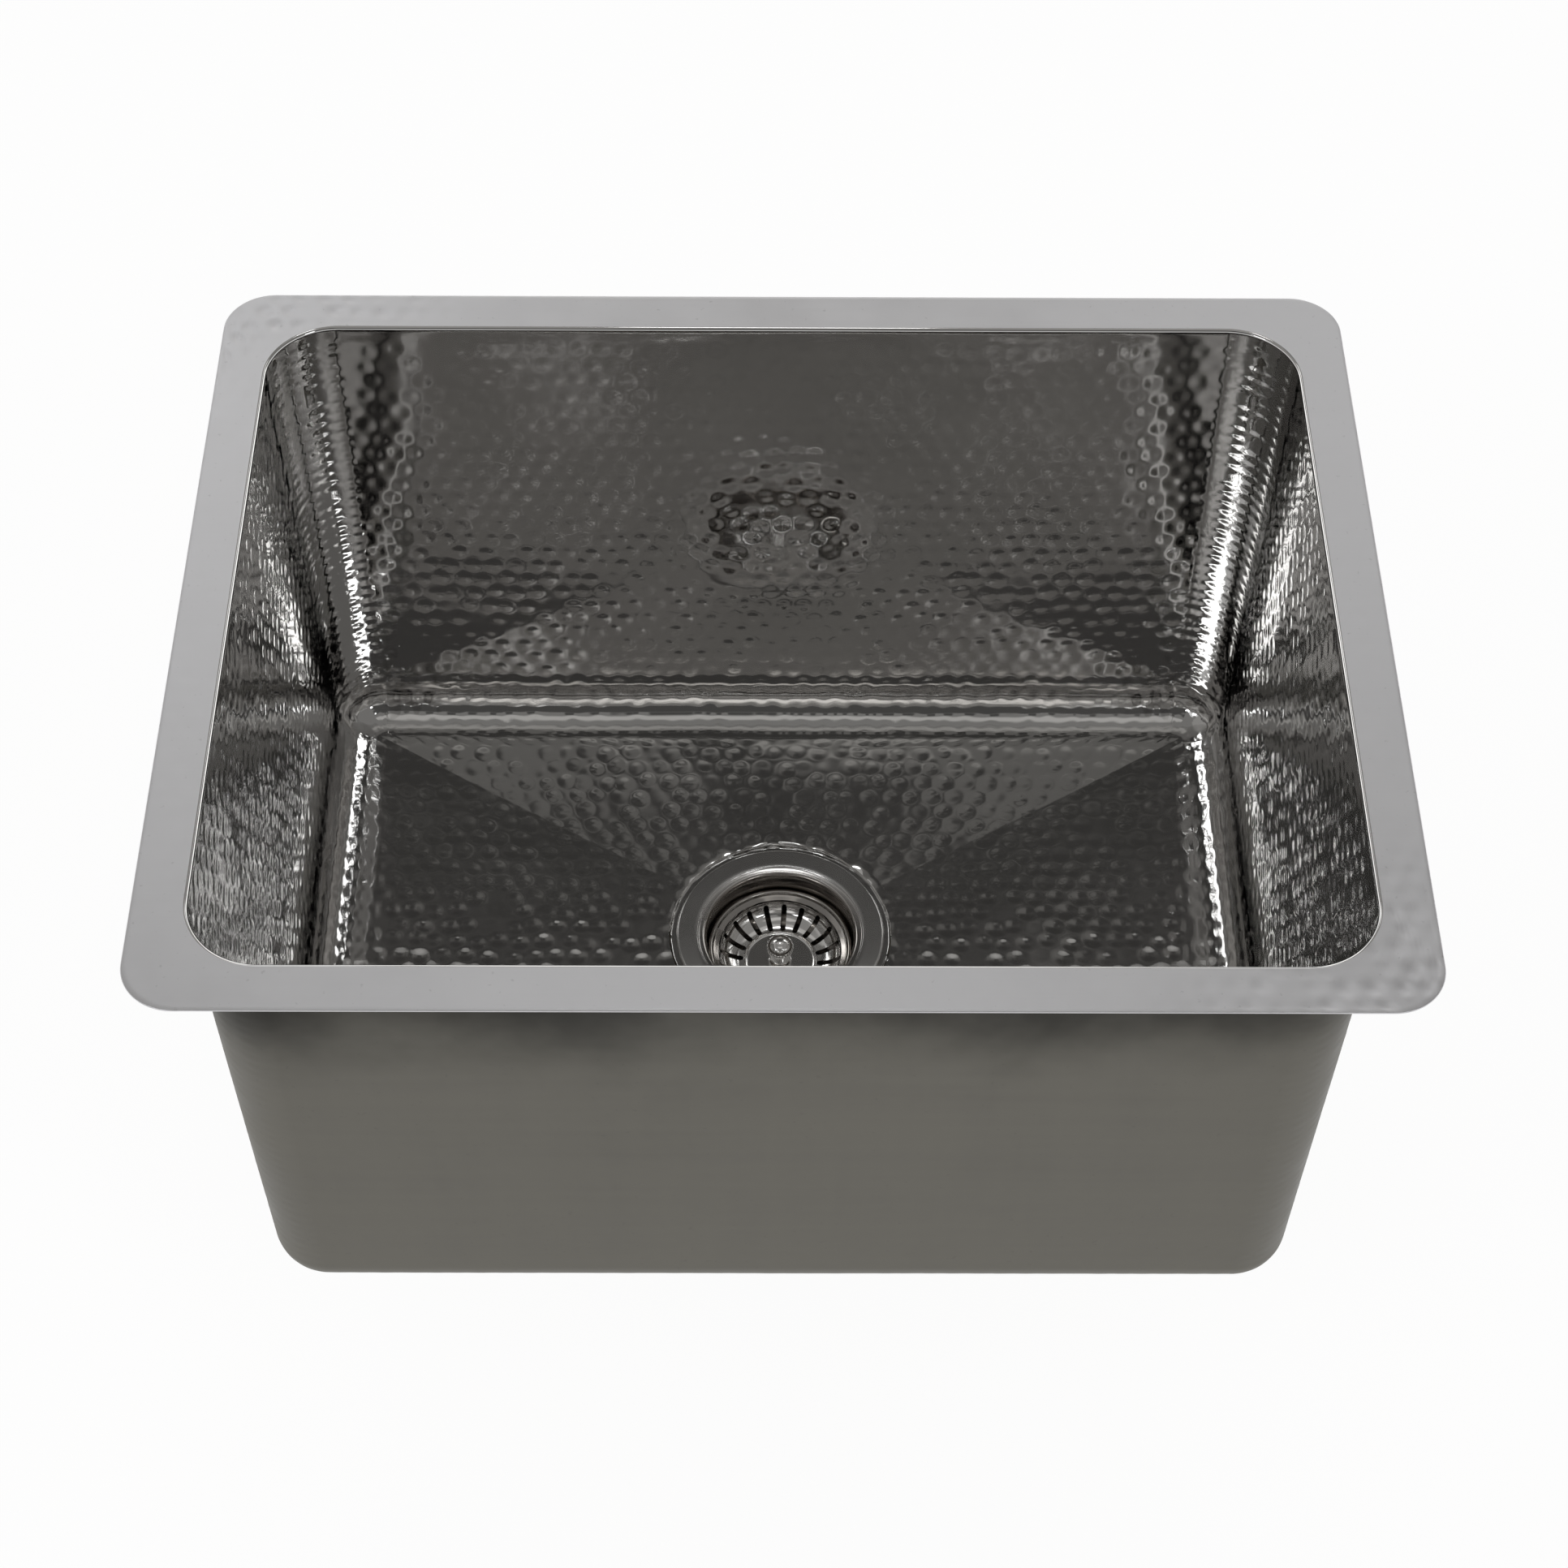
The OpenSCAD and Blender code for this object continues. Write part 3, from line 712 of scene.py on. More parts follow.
@dataclass
class Strainer:
    """The flange, cup and threaded outlet in the bowl's drain."""

    centre: tuple[float, float]
    flange_top: float
    flange_r: float
    outlet_end: float
    flange_t: float = 0.0014
    edge_r: float = 0.0012
    cup_r: float = 0.0416
    cup_wall: float = 0.0013
    cup_bend_r: float = 0.011
    cup_floor_drop: float = 0.0402
    mouth_bend_r: float = 0.0026
    bevel_w: float = 0.0028
    outlet_r: float = 0.0195
    thread_r: float = 0.0237
    thread_pitch: float = 0.0022
    thread_depth: float = 0.0007
    segments: int = 192

    def threads(self, radius: float, low: float, high: float) -> tuple[np.ndarray, np.ndarray]:
        """Heights up a threaded stretch, and how much of the thread each has, from 0 to 1."""
        z = np.linspace(low, high, max(8, round((high - low) / (self.thread_pitch / 7.0))))
        ramp = np.minimum(smoothstep(low, low + self.thread_pitch, z), smoothstep(high, high - self.thread_pitch, z))
        return np.stack([np.full_like(z, radius), z], 1), ramp

    def body(self) -> Piece:
        """The strainer body as one turned ring, with helical threads on the cup and the outlet.

        The thread's crest is a smooth ridge: radius minus depth times (1 + cos phase) / 2, where
        the phase is a full turn for each pitch of height and for each turn round the axis.

        Returns:
            The piece.
        """
        top, floor = self.flange_top, self.flange_top - self.cup_floor_drop
        bevel_r = self.cup_r + self.mouth_bend_r
        bead_r = bevel_r + self.bevel_w
        bend_c = (self.cup_r - self.cup_bend_r, floor + self.cup_bend_r)
        under = floor - self.cup_wall
        cup_out = self.cup_r + self.cup_wall
        low_thread, low_ramp = self.threads(self.thread_r, self.outlet_end, under - self.thread_pitch)
        cup_thread, cup_ramp = self.threads(cup_out, bend_c[1], top - self.flange_t - 0.0048)
        inside = [
            arc((self.flange_r - self.edge_r, top - self.edge_r), self.edge_r, 0.0, 90.0, 7),
            line((self.flange_r - self.edge_r - 0.0004, top), (bead_r + 0.0006, top), 6),
            arc((bead_r, top - 0.0003), 0.0003, 90.0, 200.0, 4),
            arc((bead_r - 0.0012, top - 0.0004), 0.0006, -20.0, -90.0, 3),
            arc((bevel_r, top - 0.0012 - self.mouth_bend_r), self.mouth_bend_r, 90.0, 180.0, 8),
            line((self.cup_r, top - 0.006), (self.cup_r, bend_c[1]), 8),
            arc(bend_c, self.cup_bend_r, 0.0, -90.0, 14),
            line((bend_c[0] - 0.001, floor), (self.outlet_r + 0.0008, floor), 4),
            arc((self.outlet_r + 0.0006, floor - 0.0006), 0.0006, 90.0, 180.0, 3),
            line((self.outlet_r, floor - 0.002), (self.outlet_r, self.outlet_end), 4),
        ]
        bend = arc(bend_c, self.cup_bend_r + self.cup_wall, -90.0, -2.0, 12)
        flange = top - self.flange_t
        under_flange = np.array([[cup_out, flange - 0.0006], [cup_out + 0.0008, flange],
                                 [self.flange_r - 0.0006, flange]])
        outline = np.concatenate([*inside, low_thread, bend, cup_thread, under_flange])
        plain = sum(len(part) for part in inside)
        ramp = np.concatenate([np.zeros(plain), low_ramp, np.zeros(len(bend)), cup_ramp, np.zeros(len(under_flange))])
        rows = turned(outline, self.segments, self.centre)
        turn = np.linspace(0.0, 2.0 * math.pi, self.segments, endpoint=False)
        phase = 2.0 * math.pi * outline[:, 1:] / self.thread_pitch - turn
        shrink = self.thread_depth * ramp[:, None] * (1.0 + np.cos(phase)) / 2.0
        rows[..., 0] -= shrink * np.cos(turn)
        rows[..., 1] -= shrink * np.sin(turn)
        points, quads = ring(rows)
        return Piece("strainer_flange_and_cup", points, quads)

    def finish(self) -> "Finish":
        """Polished steel, with painted shade that darkens the cup's wall and all below the flange's top face."""
        # painted shade in the cup's recess, below the flange's top face
        return replace(POLISHED, name="polished_strainer_steel", light=(0.72, 0.712, 0.70), dark=(0.64, 0.632, 0.62),
                       smooth=0.14, rough=0.17, shade=0.8, shade_from=self.flange_top - 0.0003,
                       shade_to=self.flange_top - 0.002, shade_colour=(0.17, 0.145, 0.12))


@dataclass
class Basket:
    """The lift-out basket: a pressed dish with a rolled rim, slots in its curved wall and a knob."""

    centre: tuple[float, float]
    top: float
    knob_top: float
    rim_r: float = 0.041
    depth: float = 0.014
    sheet: float = 0.0008
    roll_r: float = 0.0015
    mouth_r: float = 0.035
    mouth_drop: float = 0.0032
    floor_r: float = 0.0205
    hole_r: float = 0.00255
    slots: int = 20
    slot_w: float = 0.0031
    slot_margin: float = 0.0006
    slot_start: float = 16.0
    slot_turn: float = 13.8
    knob_r: float = 0.0077
    knob_foot_r: float = 0.0067
    knob_waist_r: float = 0.0058

    def sections(self) -> tuple[np.ndarray, np.ndarray, np.ndarray]:
        """The sheet's two faces in section, from the stem's hole out to the rolled rim.

        The curved wall is a quarter of an ellipse, and its far face has both half axes longer by the
        sheet's thickness. A low round ridge runs round the flat floor.

        Returns:
            Points of the upper and lower face, row by row, and the angle down the curved wall of
            each row, which is negative off the wall.
        """
        floor = self.top - self.depth
        fall = self.depth - self.mouth_drop
        wide = self.mouth_r - self.floor_r
        down = np.radians(np.linspace(90.0, 0.0, 37))
        flat_r = np.concatenate([np.linspace(self.hole_r, self.floor_r - 0.003, 8),
                                 np.linspace(self.floor_r - 0.0026, self.floor_r, 9)[:-1]])
        ridge = 0.00035 * np.exp(-((flat_r - self.floor_r + 0.0008) / 0.0006) ** 2)
        wall_in = np.stack([self.floor_r + wide * np.cos(down), floor + fall - fall * np.sin(down)], 1)
        wall_out = np.stack([self.floor_r + (wide + self.sheet) * np.cos(down),
                             floor + fall - (fall + self.sheet) * np.sin(down)], 1)
        roll_c = (self.rim_r - self.roll_r, self.top - self.roll_r)
        roll = arc(roll_c, self.roll_r, 180.0, -100.0, 20)
        shoulder = line(tuple(wall_in[-1]), (roll_c[0] - self.roll_r - 0.0006, self.top - 0.0022), 6)[1:]
        neck = np.array([[roll_c[0] - self.roll_r - 0.0002, self.top - 0.0020]])
        over = np.concatenate([shoulder, neck, roll])
        end = np.array([roll_c[0] - 0.0006, self.top - 2.0 * self.roll_r])
        below = np.linspace(0.0, 1.0, len(over) + 1)[1:, None]
        start = wall_out[-1]
        lower = start * (1.0 - below) + np.array([roll_c[0] - self.roll_r * 0.9, self.top - 0.0031]) * below
        lower[-1] = end * 0.4 + lower[-1] * 0.6
        upper = np.concatenate([np.stack([flat_r, floor + ridge], 1), wall_in, over])
        under = np.concatenate([np.stack([flat_r, np.full_like(flat_r, floor - self.sheet)], 1), wall_out, lower])
        angle = np.concatenate([np.full(len(flat_r), -1.0), down, np.full(len(over), -1.0)])
        return upper, under, angle

    def dish(self) -> Piece:
        """The pressed dish, with a real hole through the sheet at each slot.

        Each slot has its own columns, which keep half the slot's width from its middle line, and
        come together over a quarter circle at both ends.

        Returns:
            The piece.
        """
        upper, under, angle = self.sections()
        low_r = self.floor_r + self.slot_margin
        radius = upper[:, 0]
        wall = angle >= 0.0
        inside = wall & (radius > low_r) & (angle > math.radians(self.slot_start))
        rows = np.flatnonzero(inside)
        first, last = rows[0], rows[-1]
        steps = np.linalg.norm(np.diff(upper, axis=0), axis=1)
        run = np.concatenate([[0.0], np.cumsum(steps)])
        end_r = self.slot_w / 2.0
        to_end = np.clip(np.minimum(run - run[first], run[last] - run), 0.0, end_r)
        half = np.sqrt(np.maximum(end_r ** 2 - (end_r - to_end) ** 2, (0.45 * end_r) ** 2))
        half = np.where(inside, half, end_r * 0.45)
        slot_angle = np.arcsin(np.clip(half / np.maximum(radius, 0.004), 0.0, 0.2))
        pitch = 2.0 * math.pi / self.slots
        within = np.linspace(-1.0, 1.0, 5)
        between = np.linspace(0.0, 1.0, 9)[1:-1]
        at_slot = slot_angle[:, None] * within
        rest = slot_angle[:, None] + (pitch - 2.0 * slot_angle[:, None]) * between
        sector = np.concatenate([at_slot, rest], 1)
        turns = math.radians(self.slot_turn) + pitch * np.arange(self.slots)
        theta = (turns[None, :, None] + sector[:, None, :]).reshape(len(radius), -1)
        keep = np.ones((len(radius) - 1, theta.shape[1]), bool)
        open_columns = (np.arange(theta.shape[1]) % sector.shape[1]) < len(within) - 1
        keep[first:last, open_columns] = False
        faces = []
        for outline in (upper, under):
            x = self.centre[0] + outline[:, :1] * np.cos(theta)
            y = self.centre[1] + outline[:, :1] * np.sin(theta)
            faces.append(np.stack([x, y, np.broadcast_to(outline[:, 1:], x.shape)], -1))
        points, quads = shell(faces[0], faces[1], wrap=True, keep=keep)
        used = np.unique(quads)
        order = np.zeros(len(points), int)
        order[used] = np.arange(len(used))
        return Piece("basket_dish", points[used], order[quads])

    def knob(self) -> Piece:
        """The turned knob: a foot, a narrow waist and a round bulb, closed at its top.

        The bulb is an ellipse turned round the axis, from the waist up to the pole.

        Returns:
            The piece.
        """
        floor = self.top - self.depth
        tall = self.knob_top - floor
        bulb = 0.31 * tall
        bulb_z = self.knob_top - bulb
        neck = math.degrees(math.acos(self.knob_waist_r / self.knob_r))
        a = np.radians(np.linspace(-neck, 88.0, 26))
        round_part = np.stack([self.knob_r * np.cos(a), bulb_z + bulb * np.sin(a)], 1)
        waist_z = round_part[0, 1]
        foot = arc((self.knob_foot_r - 0.0004, floor + 0.0008), 0.0004, 0.0, 90.0, 3)
        stem = np.array([[self.knob_waist_r + 0.0005, floor + 0.0016], [self.knob_waist_r, floor + 0.0026],
                         [self.knob_waist_r - 0.0002, (floor + waist_z) / 2.0], [self.knob_waist_r, waist_z - 0.0008]])
        outline = np.concatenate([[[self.knob_foot_r, floor]], foot, stem, round_part])
        segments = 96
        rows = turned(outline, segments, self.centre)
        count = len(outline)
        points = np.concatenate([rows.reshape(-1, 3), [[*self.centre, floor], [*self.centre, self.knob_top]]])
        quads = grid_index(count, segments, True).reshape(-1, 4)
        k = np.arange(segments)
        following = (k + 1) % segments
        foot_fan = np.stack([following, k, np.full(segments, count * segments)], 1)
        last = (count - 1) * segments
        top_fan = np.stack([last + k, last + following, np.full(segments, count * segments + 1)], 1)
        return Piece("basket_knob", points, quads, np.concatenate([foot_fan, top_fan]))

    def finish(self) -> "Finish":
        """Polished steel, with painted shade that darkens the shoulder and rolled rim above the slotted wall."""
        # painted shade on the shoulder and rolled rim
        return replace(POLISHED, name="polished_basket_steel", shade=0.62, shade_from=self.top - 0.0065,
                       shade_to=self.top - 0.0045, shade_colour=(0.2, 0.175, 0.15))


# Finishes


class Nodes:
    """Adds and joins shader nodes in one tree."""

    def __init__(self, tree: bpy.types.NodeTree) -> None:
        """Start from an empty tree."""
        self.tree = tree
        tree.nodes.clear()

    def add(self, kind: str, **values: object) -> bpy.types.Node:
        """Add a node, and set its properties or, for names that begin with a capital, its inputs.

        Args:
            kind: Type of the node.
            values: Properties and inputs. An underscore in an input's name stands for a space.

        Returns:
            The node.
        """
        node = self.tree.nodes.new(kind)
        for name, value in values.items():
            if name[0].isupper():
                node.inputs[name.replace("_", " ")].default_value = value
            else:
                setattr(node, name, value)
        return node

    def join(self, start: bpy.types.NodeSocket, end: bpy.types.NodeSocket) -> None:
        """Link an output to an input."""
        self.tree.links.new(start, end)

    def math(self, operation: str, *terms: object) -> bpy.types.NodeSocket:
        """Add a Math node on values or outputs.

        Args:
            operation: Name of the operation.
            terms: Numbers or outputs, in order.

        Returns:
            Its output.
        """
        node = self.add("ShaderNodeMath", operation=operation)
        for socket, term in zip(node.inputs, terms):
            if isinstance(term, (int, float)):
                socket.default_value = term
            else:
                self.join(term, socket)
        return node.outputs[0]

    def clamp(self, value: bpy.types.NodeSocket) -> bpy.types.NodeSocket:
        """Hold a value between 0 and 1."""
        held = self.add("ShaderNodeClamp")
        self.join(value, held.inputs[0])
        return held.outputs[0]

    def blend(self, share: bpy.types.NodeSocket, first: object, second: object) -> bpy.types.NodeSocket:
        """Mix two colours.

        Args:
            share: Share of the second colour.
            first: First colour, as three numbers or an output.
            second: Second colour, likewise.

        Returns:
            The mixed colour.
        """
        node = self.add("ShaderNodeMix", data_type="RGBA")
        self.join(share, node.inputs["Factor"])
        for socket, colour in zip((node.inputs[6], node.inputs[7]), (first, second)):
            if isinstance(colour, tuple):
                socket.default_value = (*colour, 1.0)
            else:
                self.join(colour, socket)
        return node.outputs[2]

    def mix_shaders(self, *terms: bpy.types.NodeSocket) -> bpy.types.NodeSocket:
        """Mix two shaders: the terms are the second one's share, the first one and the second one."""
        node = self.add("ShaderNodeMixShader")
        for start, end in zip(terms, node.inputs):
            self.join(start, end)
        return node.outputs[0]

    def direct_rays(self) -> bpy.types.NodeSocket:
        """1 for camera, glossy and transmission rays, which all see the pale background, and 0 for others."""
        path = self.add("ShaderNodeLightPath")
        seen = self.math("MAXIMUM", path.outputs["Is Camera Ray"], path.outputs["Is Transmission Ray"])
        return self.math("MAXIMUM", seen, path.outputs["Is Glossy Ray"])


def effect_group(name: str, inputs: dict[str, tuple], outputs: dict[str, str]) -> tuple:
    """Start a shader node group with named sockets.

    Args:
        name: Name of the group.
        inputs: Type and default of each input by name.
        outputs: Type of each output by name.

    Returns:
        The group, its nodes, its input node and its output node.
    """
    group = bpy.data.node_groups.new(name, "ShaderNodeTree")
    for label, (kind, default) in inputs.items():
        socket = group.interface.new_socket(name=label, in_out="INPUT", socket_type=kind)
        if default is not None:
            socket.default_value = default
    for label, kind in outputs.items():
        group.interface.new_socket(name=label, in_out="OUTPUT", socket_type=kind)
    nodes = Nodes(group)
    return group, nodes, nodes.add("NodeGroupInput"), nodes.add("NodeGroupOutput")


VECTOR, VALUE = "NodeSocketVector", "NodeSocketFloat"


def brushed_grain() -> bpy.types.NodeTree:
    """Fine scratches along one direction, as noise on coordinates that are stretched across it."""
    group, n, start, end = effect_group(
        "brushed_grain",
        {"Vector": (VECTOR, None), "Along": (VALUE, 14.0), "Across": (VALUE, 900.0), "Turn": (VECTOR, (0.0, 0.0, 0.0))},
        {"Value": VALUE})
    turn = n.add("ShaderNodeVectorRotate", rotation_type="EULER_XYZ")
    n.join(start.outputs["Vector"], turn.inputs["Vector"])
    n.join(start.outputs["Turn"], turn.inputs["Rotation"])
    scale = n.add("ShaderNodeCombineXYZ")
    n.join(start.outputs["Along"], scale.inputs["X"])
    n.join(start.outputs["Across"], scale.inputs["Y"])
    n.join(start.outputs["Across"], scale.inputs["Z"])
    stretch = n.add("ShaderNodeVectorMath", operation="MULTIPLY")
    n.join(turn.outputs[0], stretch.inputs[0])
    n.join(scale.outputs[0], stretch.inputs[1])
    noise = n.add("ShaderNodeTexNoise", Scale=1.0, Detail=3.0, Roughness=0.6)
    n.join(stretch.outputs[0], noise.inputs["Vector"])
    n.join(noise.outputs[0], end.inputs["Value"])
    return group


def soft_mottle() -> bpy.types.NodeTree:
    """Slow cloudy change over a surface, from 0 to 1, from two layers of noise."""
    group, n, start, end = effect_group(
        "soft_mottle",
        {"Vector": (VECTOR, None), "Scale": (VALUE, 20.0), "Contrast": (VALUE, 1.6)},
        {"Value": VALUE})
    noise = n.add("ShaderNodeTexNoise", Detail=4.0, Roughness=0.55)
    n.join(start.outputs["Vector"], noise.inputs["Vector"])
    n.join(start.outputs["Scale"], noise.inputs["Scale"])
    centred = n.math("SUBTRACT", noise.outputs[0], 0.5)
    spread = n.math("MULTIPLY", centred, start.outputs["Contrast"])
    n.join(n.clamp(n.math("ADD", spread, 0.5)), end.inputs["Value"])
    return group


def fine_specks() -> bpy.types.NodeTree:
    """Small scattered marks, 1 on a mark and 0 off it, such as dust, pits or moulding specks."""
    group, n, start, end = effect_group(
        "fine_specks",
        {"Vector": (VECTOR, None), "Scale": (VALUE, 300.0), "Level": (VALUE, 0.68)},
        {"Value": VALUE})
    noise = n.add("ShaderNodeTexNoise", Detail=2.0, Roughness=0.5)
    n.join(start.outputs["Vector"], noise.inputs["Vector"])
    n.join(start.outputs["Scale"], noise.inputs["Scale"])
    above = n.math("SUBTRACT", noise.outputs[0], start.outputs["Level"])
    n.join(n.clamp(n.math("MULTIPLY", above, 12.0)), end.inputs["Value"])
    return group


@dataclass(frozen=True)
class Effects:
    """The shared node groups, built once."""

    grain: bpy.types.NodeTree
    mottle: bpy.types.NodeTree
    specks: bpy.types.NodeTree


@dataclass(frozen=True)
class Finish:
    """A surface finish: two colours that a soft mottle mixes, a grain, specks and roughness."""

    name: str
    light: tuple[float, float, float]
    dark: tuple[float, float, float]
    metallic: float = 1.0
    smooth: float = 0.2
    rough: float = 0.35
    mottle_scale: float = 18.0
    mottle_contrast: float = 1.6
    grain_along: float = 14.0
    grain_across: float = 900.0
    grain_turn: tuple[float, float, float] = (0.0, 0.0, 0.0)
    grain_mix: float = 0.25
    bump: float = 0.1
    bump_depth: float = 0.0001
    ripple_scale: float = 90.0
    ripple: float = 0.0
    band_mix: float = 0.0
    # shade: painted shade, a darker colour from shade_from to shade_to
    shade: float = 0.0
    shade_from: float = -0.1
    shade_to: float = 0.0
    shade_cloud: float = 0.0
    shade_colour: tuple[float, float, float] = (0.06, 0.058, 0.052)
    speck_scale: float = 300.0
    speck_level: float = 0.68
    speck_mix: float = 0.15
    speck_colour: tuple[float, float, float] = (0.05, 0.05, 0.05)

    def material(self, effects: Effects) -> bpy.types.Material:
        """Build the material.

        Mottle mixes the two colours, specks darken or lighten them, grain and mottle move the
        roughness, and grain with an optional ripple gives the height of the bump.

        Args:
            effects: The shared node groups.

        Returns:
            The material.
        """
        made = bpy.data.materials.new(self.name)
        made.use_nodes = True
        n = Nodes(made.node_tree)
        place_at = n.add("ShaderNodeTexCoord").outputs["Object"]
        mottle = n.add("ShaderNodeGroup", node_tree=effects.mottle, Scale=self.mottle_scale,
                       Contrast=self.mottle_contrast)
        grain = n.add("ShaderNodeGroup", node_tree=effects.grain, Along=self.grain_along,
                      Across=self.grain_across, Turn=self.grain_turn)
        specks = n.add("ShaderNodeGroup", node_tree=effects.specks, Scale=self.speck_scale,
                       Level=self.speck_level)
        for group in (mottle, grain, specks):
            n.join(place_at, group.inputs["Vector"])
        blend = n.math("ADD", n.math("MULTIPLY", mottle.outputs[0], 1.0 - self.grain_mix),
                       n.math("MULTIPLY", grain.outputs[0], self.grain_mix))
        if self.band_mix:
            blend = self.with_bands(n, effects, place_at, blend)
        colour = n.blend(blend, self.dark, self.light)
        colour = n.blend(n.math("MULTIPLY", specks.outputs[0], self.speck_mix), colour, self.speck_colour)
        # painted shade: darker from one height to another
        if self.shade:
            colour = self.with_painted_shade(n, place_at, mottle.outputs[0], colour)
        rough = n.add("ShaderNodeMapRange", To_Min=self.smooth, To_Max=self.rough)
        n.join(blend, rough.inputs["Value"])
        ripple = n.add("ShaderNodeTexNoise", Scale=self.ripple_scale, Detail=1.0)
        n.join(place_at, ripple.inputs["Vector"])
        height = n.math("ADD", grain.outputs[0], n.math("MULTIPLY", ripple.outputs[0], self.ripple))
        bump = n.add("ShaderNodeBump", Strength=self.bump, Distance=self.bump_depth)
        n.join(height, bump.inputs["Height"])
        shader = n.add("ShaderNodeBsdfPrincipled", Metallic=self.metallic)
        n.join(colour, shader.inputs["Base Color"])
        n.join(rough.outputs[0], shader.inputs["Roughness"])
        n.join(bump.outputs[0], shader.inputs["Normal"])
        n.join(shader.outputs[0], n.add("ShaderNodeOutputMaterial").inputs["Surface"])
        return made

    def with_bands(self, n: Nodes, effects: Effects, place_at: bpy.types.NodeSocket,
                   blend: bpy.types.NodeSocket) -> bpy.types.NodeSocket:
        """Mix broad level and upright bands of polishing into the blend of the two colours.

        Args:
            n: Nodes of the material.
            effects: The shared node groups.
            place_at: Place on the object.
            blend: The blend so far.

        Returns:
            The blend with its bands.
        """
        total = 0.0
        for turn, across in (((0.0, 0.0, 0.0), 34.0), ((0.0, math.pi / 2.0, 0.0), 26.0)):
            band = n.add("ShaderNodeGroup", node_tree=effects.grain, Along=3.0, Across=across, Turn=turn)
            n.join(place_at, band.inputs["Vector"])
            total = n.math("ADD", total, n.math("SUBTRACT", band.outputs[0], 0.5))
        spread = n.math("ADD", n.math("MULTIPLY", total, 2.6), 0.5)
        mixed = n.math("ADD", n.math("MULTIPLY", blend, 1.0 - self.band_mix), n.math("MULTIPLY", spread, self.band_mix))
        return n.clamp(mixed)

    def with_painted_shade(self, n: Nodes, place_at: bpy.types.NodeSocket, mottle: bpy.types.NodeSocket,
                   colour: bpy.types.NodeSocket) -> bpy.types.NodeSocket:
        """Darken the colour from one height to another, as painted shade.

        Args:
            n: Nodes of the material.
            place_at: Place on the object.
            mottle: The cloudy change that moves the edge.
            colour: The colour so far.

        Returns:
            The shaded colour.
        """
        parts = n.add("ShaderNodeSeparateXYZ")
        n.join(place_at, parts.inputs[0])
        cloud = n.math("MULTIPLY", n.math("SUBTRACT", mottle, 0.5), self.shade_cloud)
        height = n.math("ADD", parts.outputs["Z"], cloud)
        near = n.add("ShaderNodeMapRange", interpolation_type="SMOOTHSTEP", From_Min=self.shade_from,
                     From_Max=self.shade_to)
        n.join(height, near.inputs["Value"])
        return n.blend(n.math("MULTIPLY", near.outputs[0], self.shade), colour, self.shade_colour)


RIM_SATIN = Finish("rim_satin_steel", (0.69, 0.686, 0.698), (0.62, 0.616, 0.628), smooth=0.34, rough=0.46,
                   mottle_scale=26.0, bump=0.12, bump_depth=0.00006, ripple_scale=75.0, ripple=4.0)
INSIDE_POLISHED = Finish("hammered_polished_steel", (0.62, 0.613, 0.603), (0.54, 0.533, 0.523), smooth=0.04,
                         rough=0.085, mottle_scale=14.0, grain_along=220.0, grain_across=600.0, grain_mix=0.12,
                         bump=0.025, bump_depth=0.00005, ripple_scale=200.0, ripple=0.5, speck_mix=0.04)
# The outside's colours are written far darker than the same steel inside: painted shade for the dim room it reflects.
# Its shade is painted shade under the rim, darkest at the top.
OUTSIDE_BRUSHED = Finish("outside_brushed_steel", (0.176, 0.168, 0.146), (0.122, 0.116, 0.1), smooth=0.42, rough=0.6,
                         mottle_scale=11.0, mottle_contrast=3.0, grain_along=9.0, grain_across=520.0, grain_mix=0.3,
                         bump=0.12, bump_depth=0.0001, ripple_scale=34.0, ripple=3.0, band_mix=0.6, shade=1.0,
                         shade_from=-0.1, shade_to=-0.008, shade_cloud=0.03,
                         shade_colour=(0.022, 0.021, 0.018))
POLISHED = Finish("polished_steel", (0.80, 0.79, 0.775), (0.72, 0.71, 0.695), smooth=0.08, rough=0.11,
                  mottle_scale=24.0, grain_along=30.0, grain_across=90.0, grain_mix=0.04, bump=0.001,
                  bump_depth=0.00002, speck_mix=0.0)
TURNED = Finish("turned_steel", (0.62, 0.61, 0.59), (0.5, 0.49, 0.47), smooth=0.22, rough=0.36, mottle_scale=70.0,
                grain_along=200.0, grain_across=1400.0, bump=0.08)
CAST_ZINC = Finish("cast_zinc", (0.46, 0.46, 0.475), (0.33, 0.33, 0.345), smooth=0.42, rough=0.6, mottle_scale=60.0,
                   grain_along=500.0, grain_across=700.0, bump=0.25, bump_depth=0.0002, speck_mix=0.3)
PLATED = Finish("nickel_plated_brass", (0.66, 0.645, 0.62), (0.56, 0.545, 0.52), smooth=0.16, rough=0.28,
                mottle_scale=45.0, grain_along=40.0, grain_across=1200.0, grain_turn=(0.0, math.pi / 2.0, 0.0),
                bump=0.06)
PUTTY = Finish("sealing_putty", (0.74, 0.70, 0.61), (0.62, 0.58, 0.50), metallic=0.0, smooth=0.6, rough=0.8,
               mottle_scale=90.0, bump=0.3, bump_depth=0.0003, ripple=2.0)
RUBBER = Finish("black_rubber", (0.03, 0.03, 0.031), (0.014, 0.014, 0.015), metallic=0.0, smooth=0.5, rough=0.7,
                mottle_scale=80.0, grain_along=500.0, grain_across=500.0, bump=0.2, speck_mix=0.2,
                speck_colour=(0.12, 0.12, 0.12))
FIBRE = Finish("pressed_fibre", (0.50, 0.39, 0.26), (0.36, 0.27, 0.17), metallic=0.0, smooth=0.75, rough=0.9,
               mottle_scale=220.0, grain_along=90.0, grain_across=700.0, grain_mix=0.5, bump=0.35)
WHITE_PLASTIC = Finish("white_plastic", (0.80, 0.80, 0.78), (0.74, 0.74, 0.72), metallic=0.0, smooth=0.32, rough=0.45,
                       mottle_scale=70.0, bump=0.06, speck_mix=0.08)


# Studio


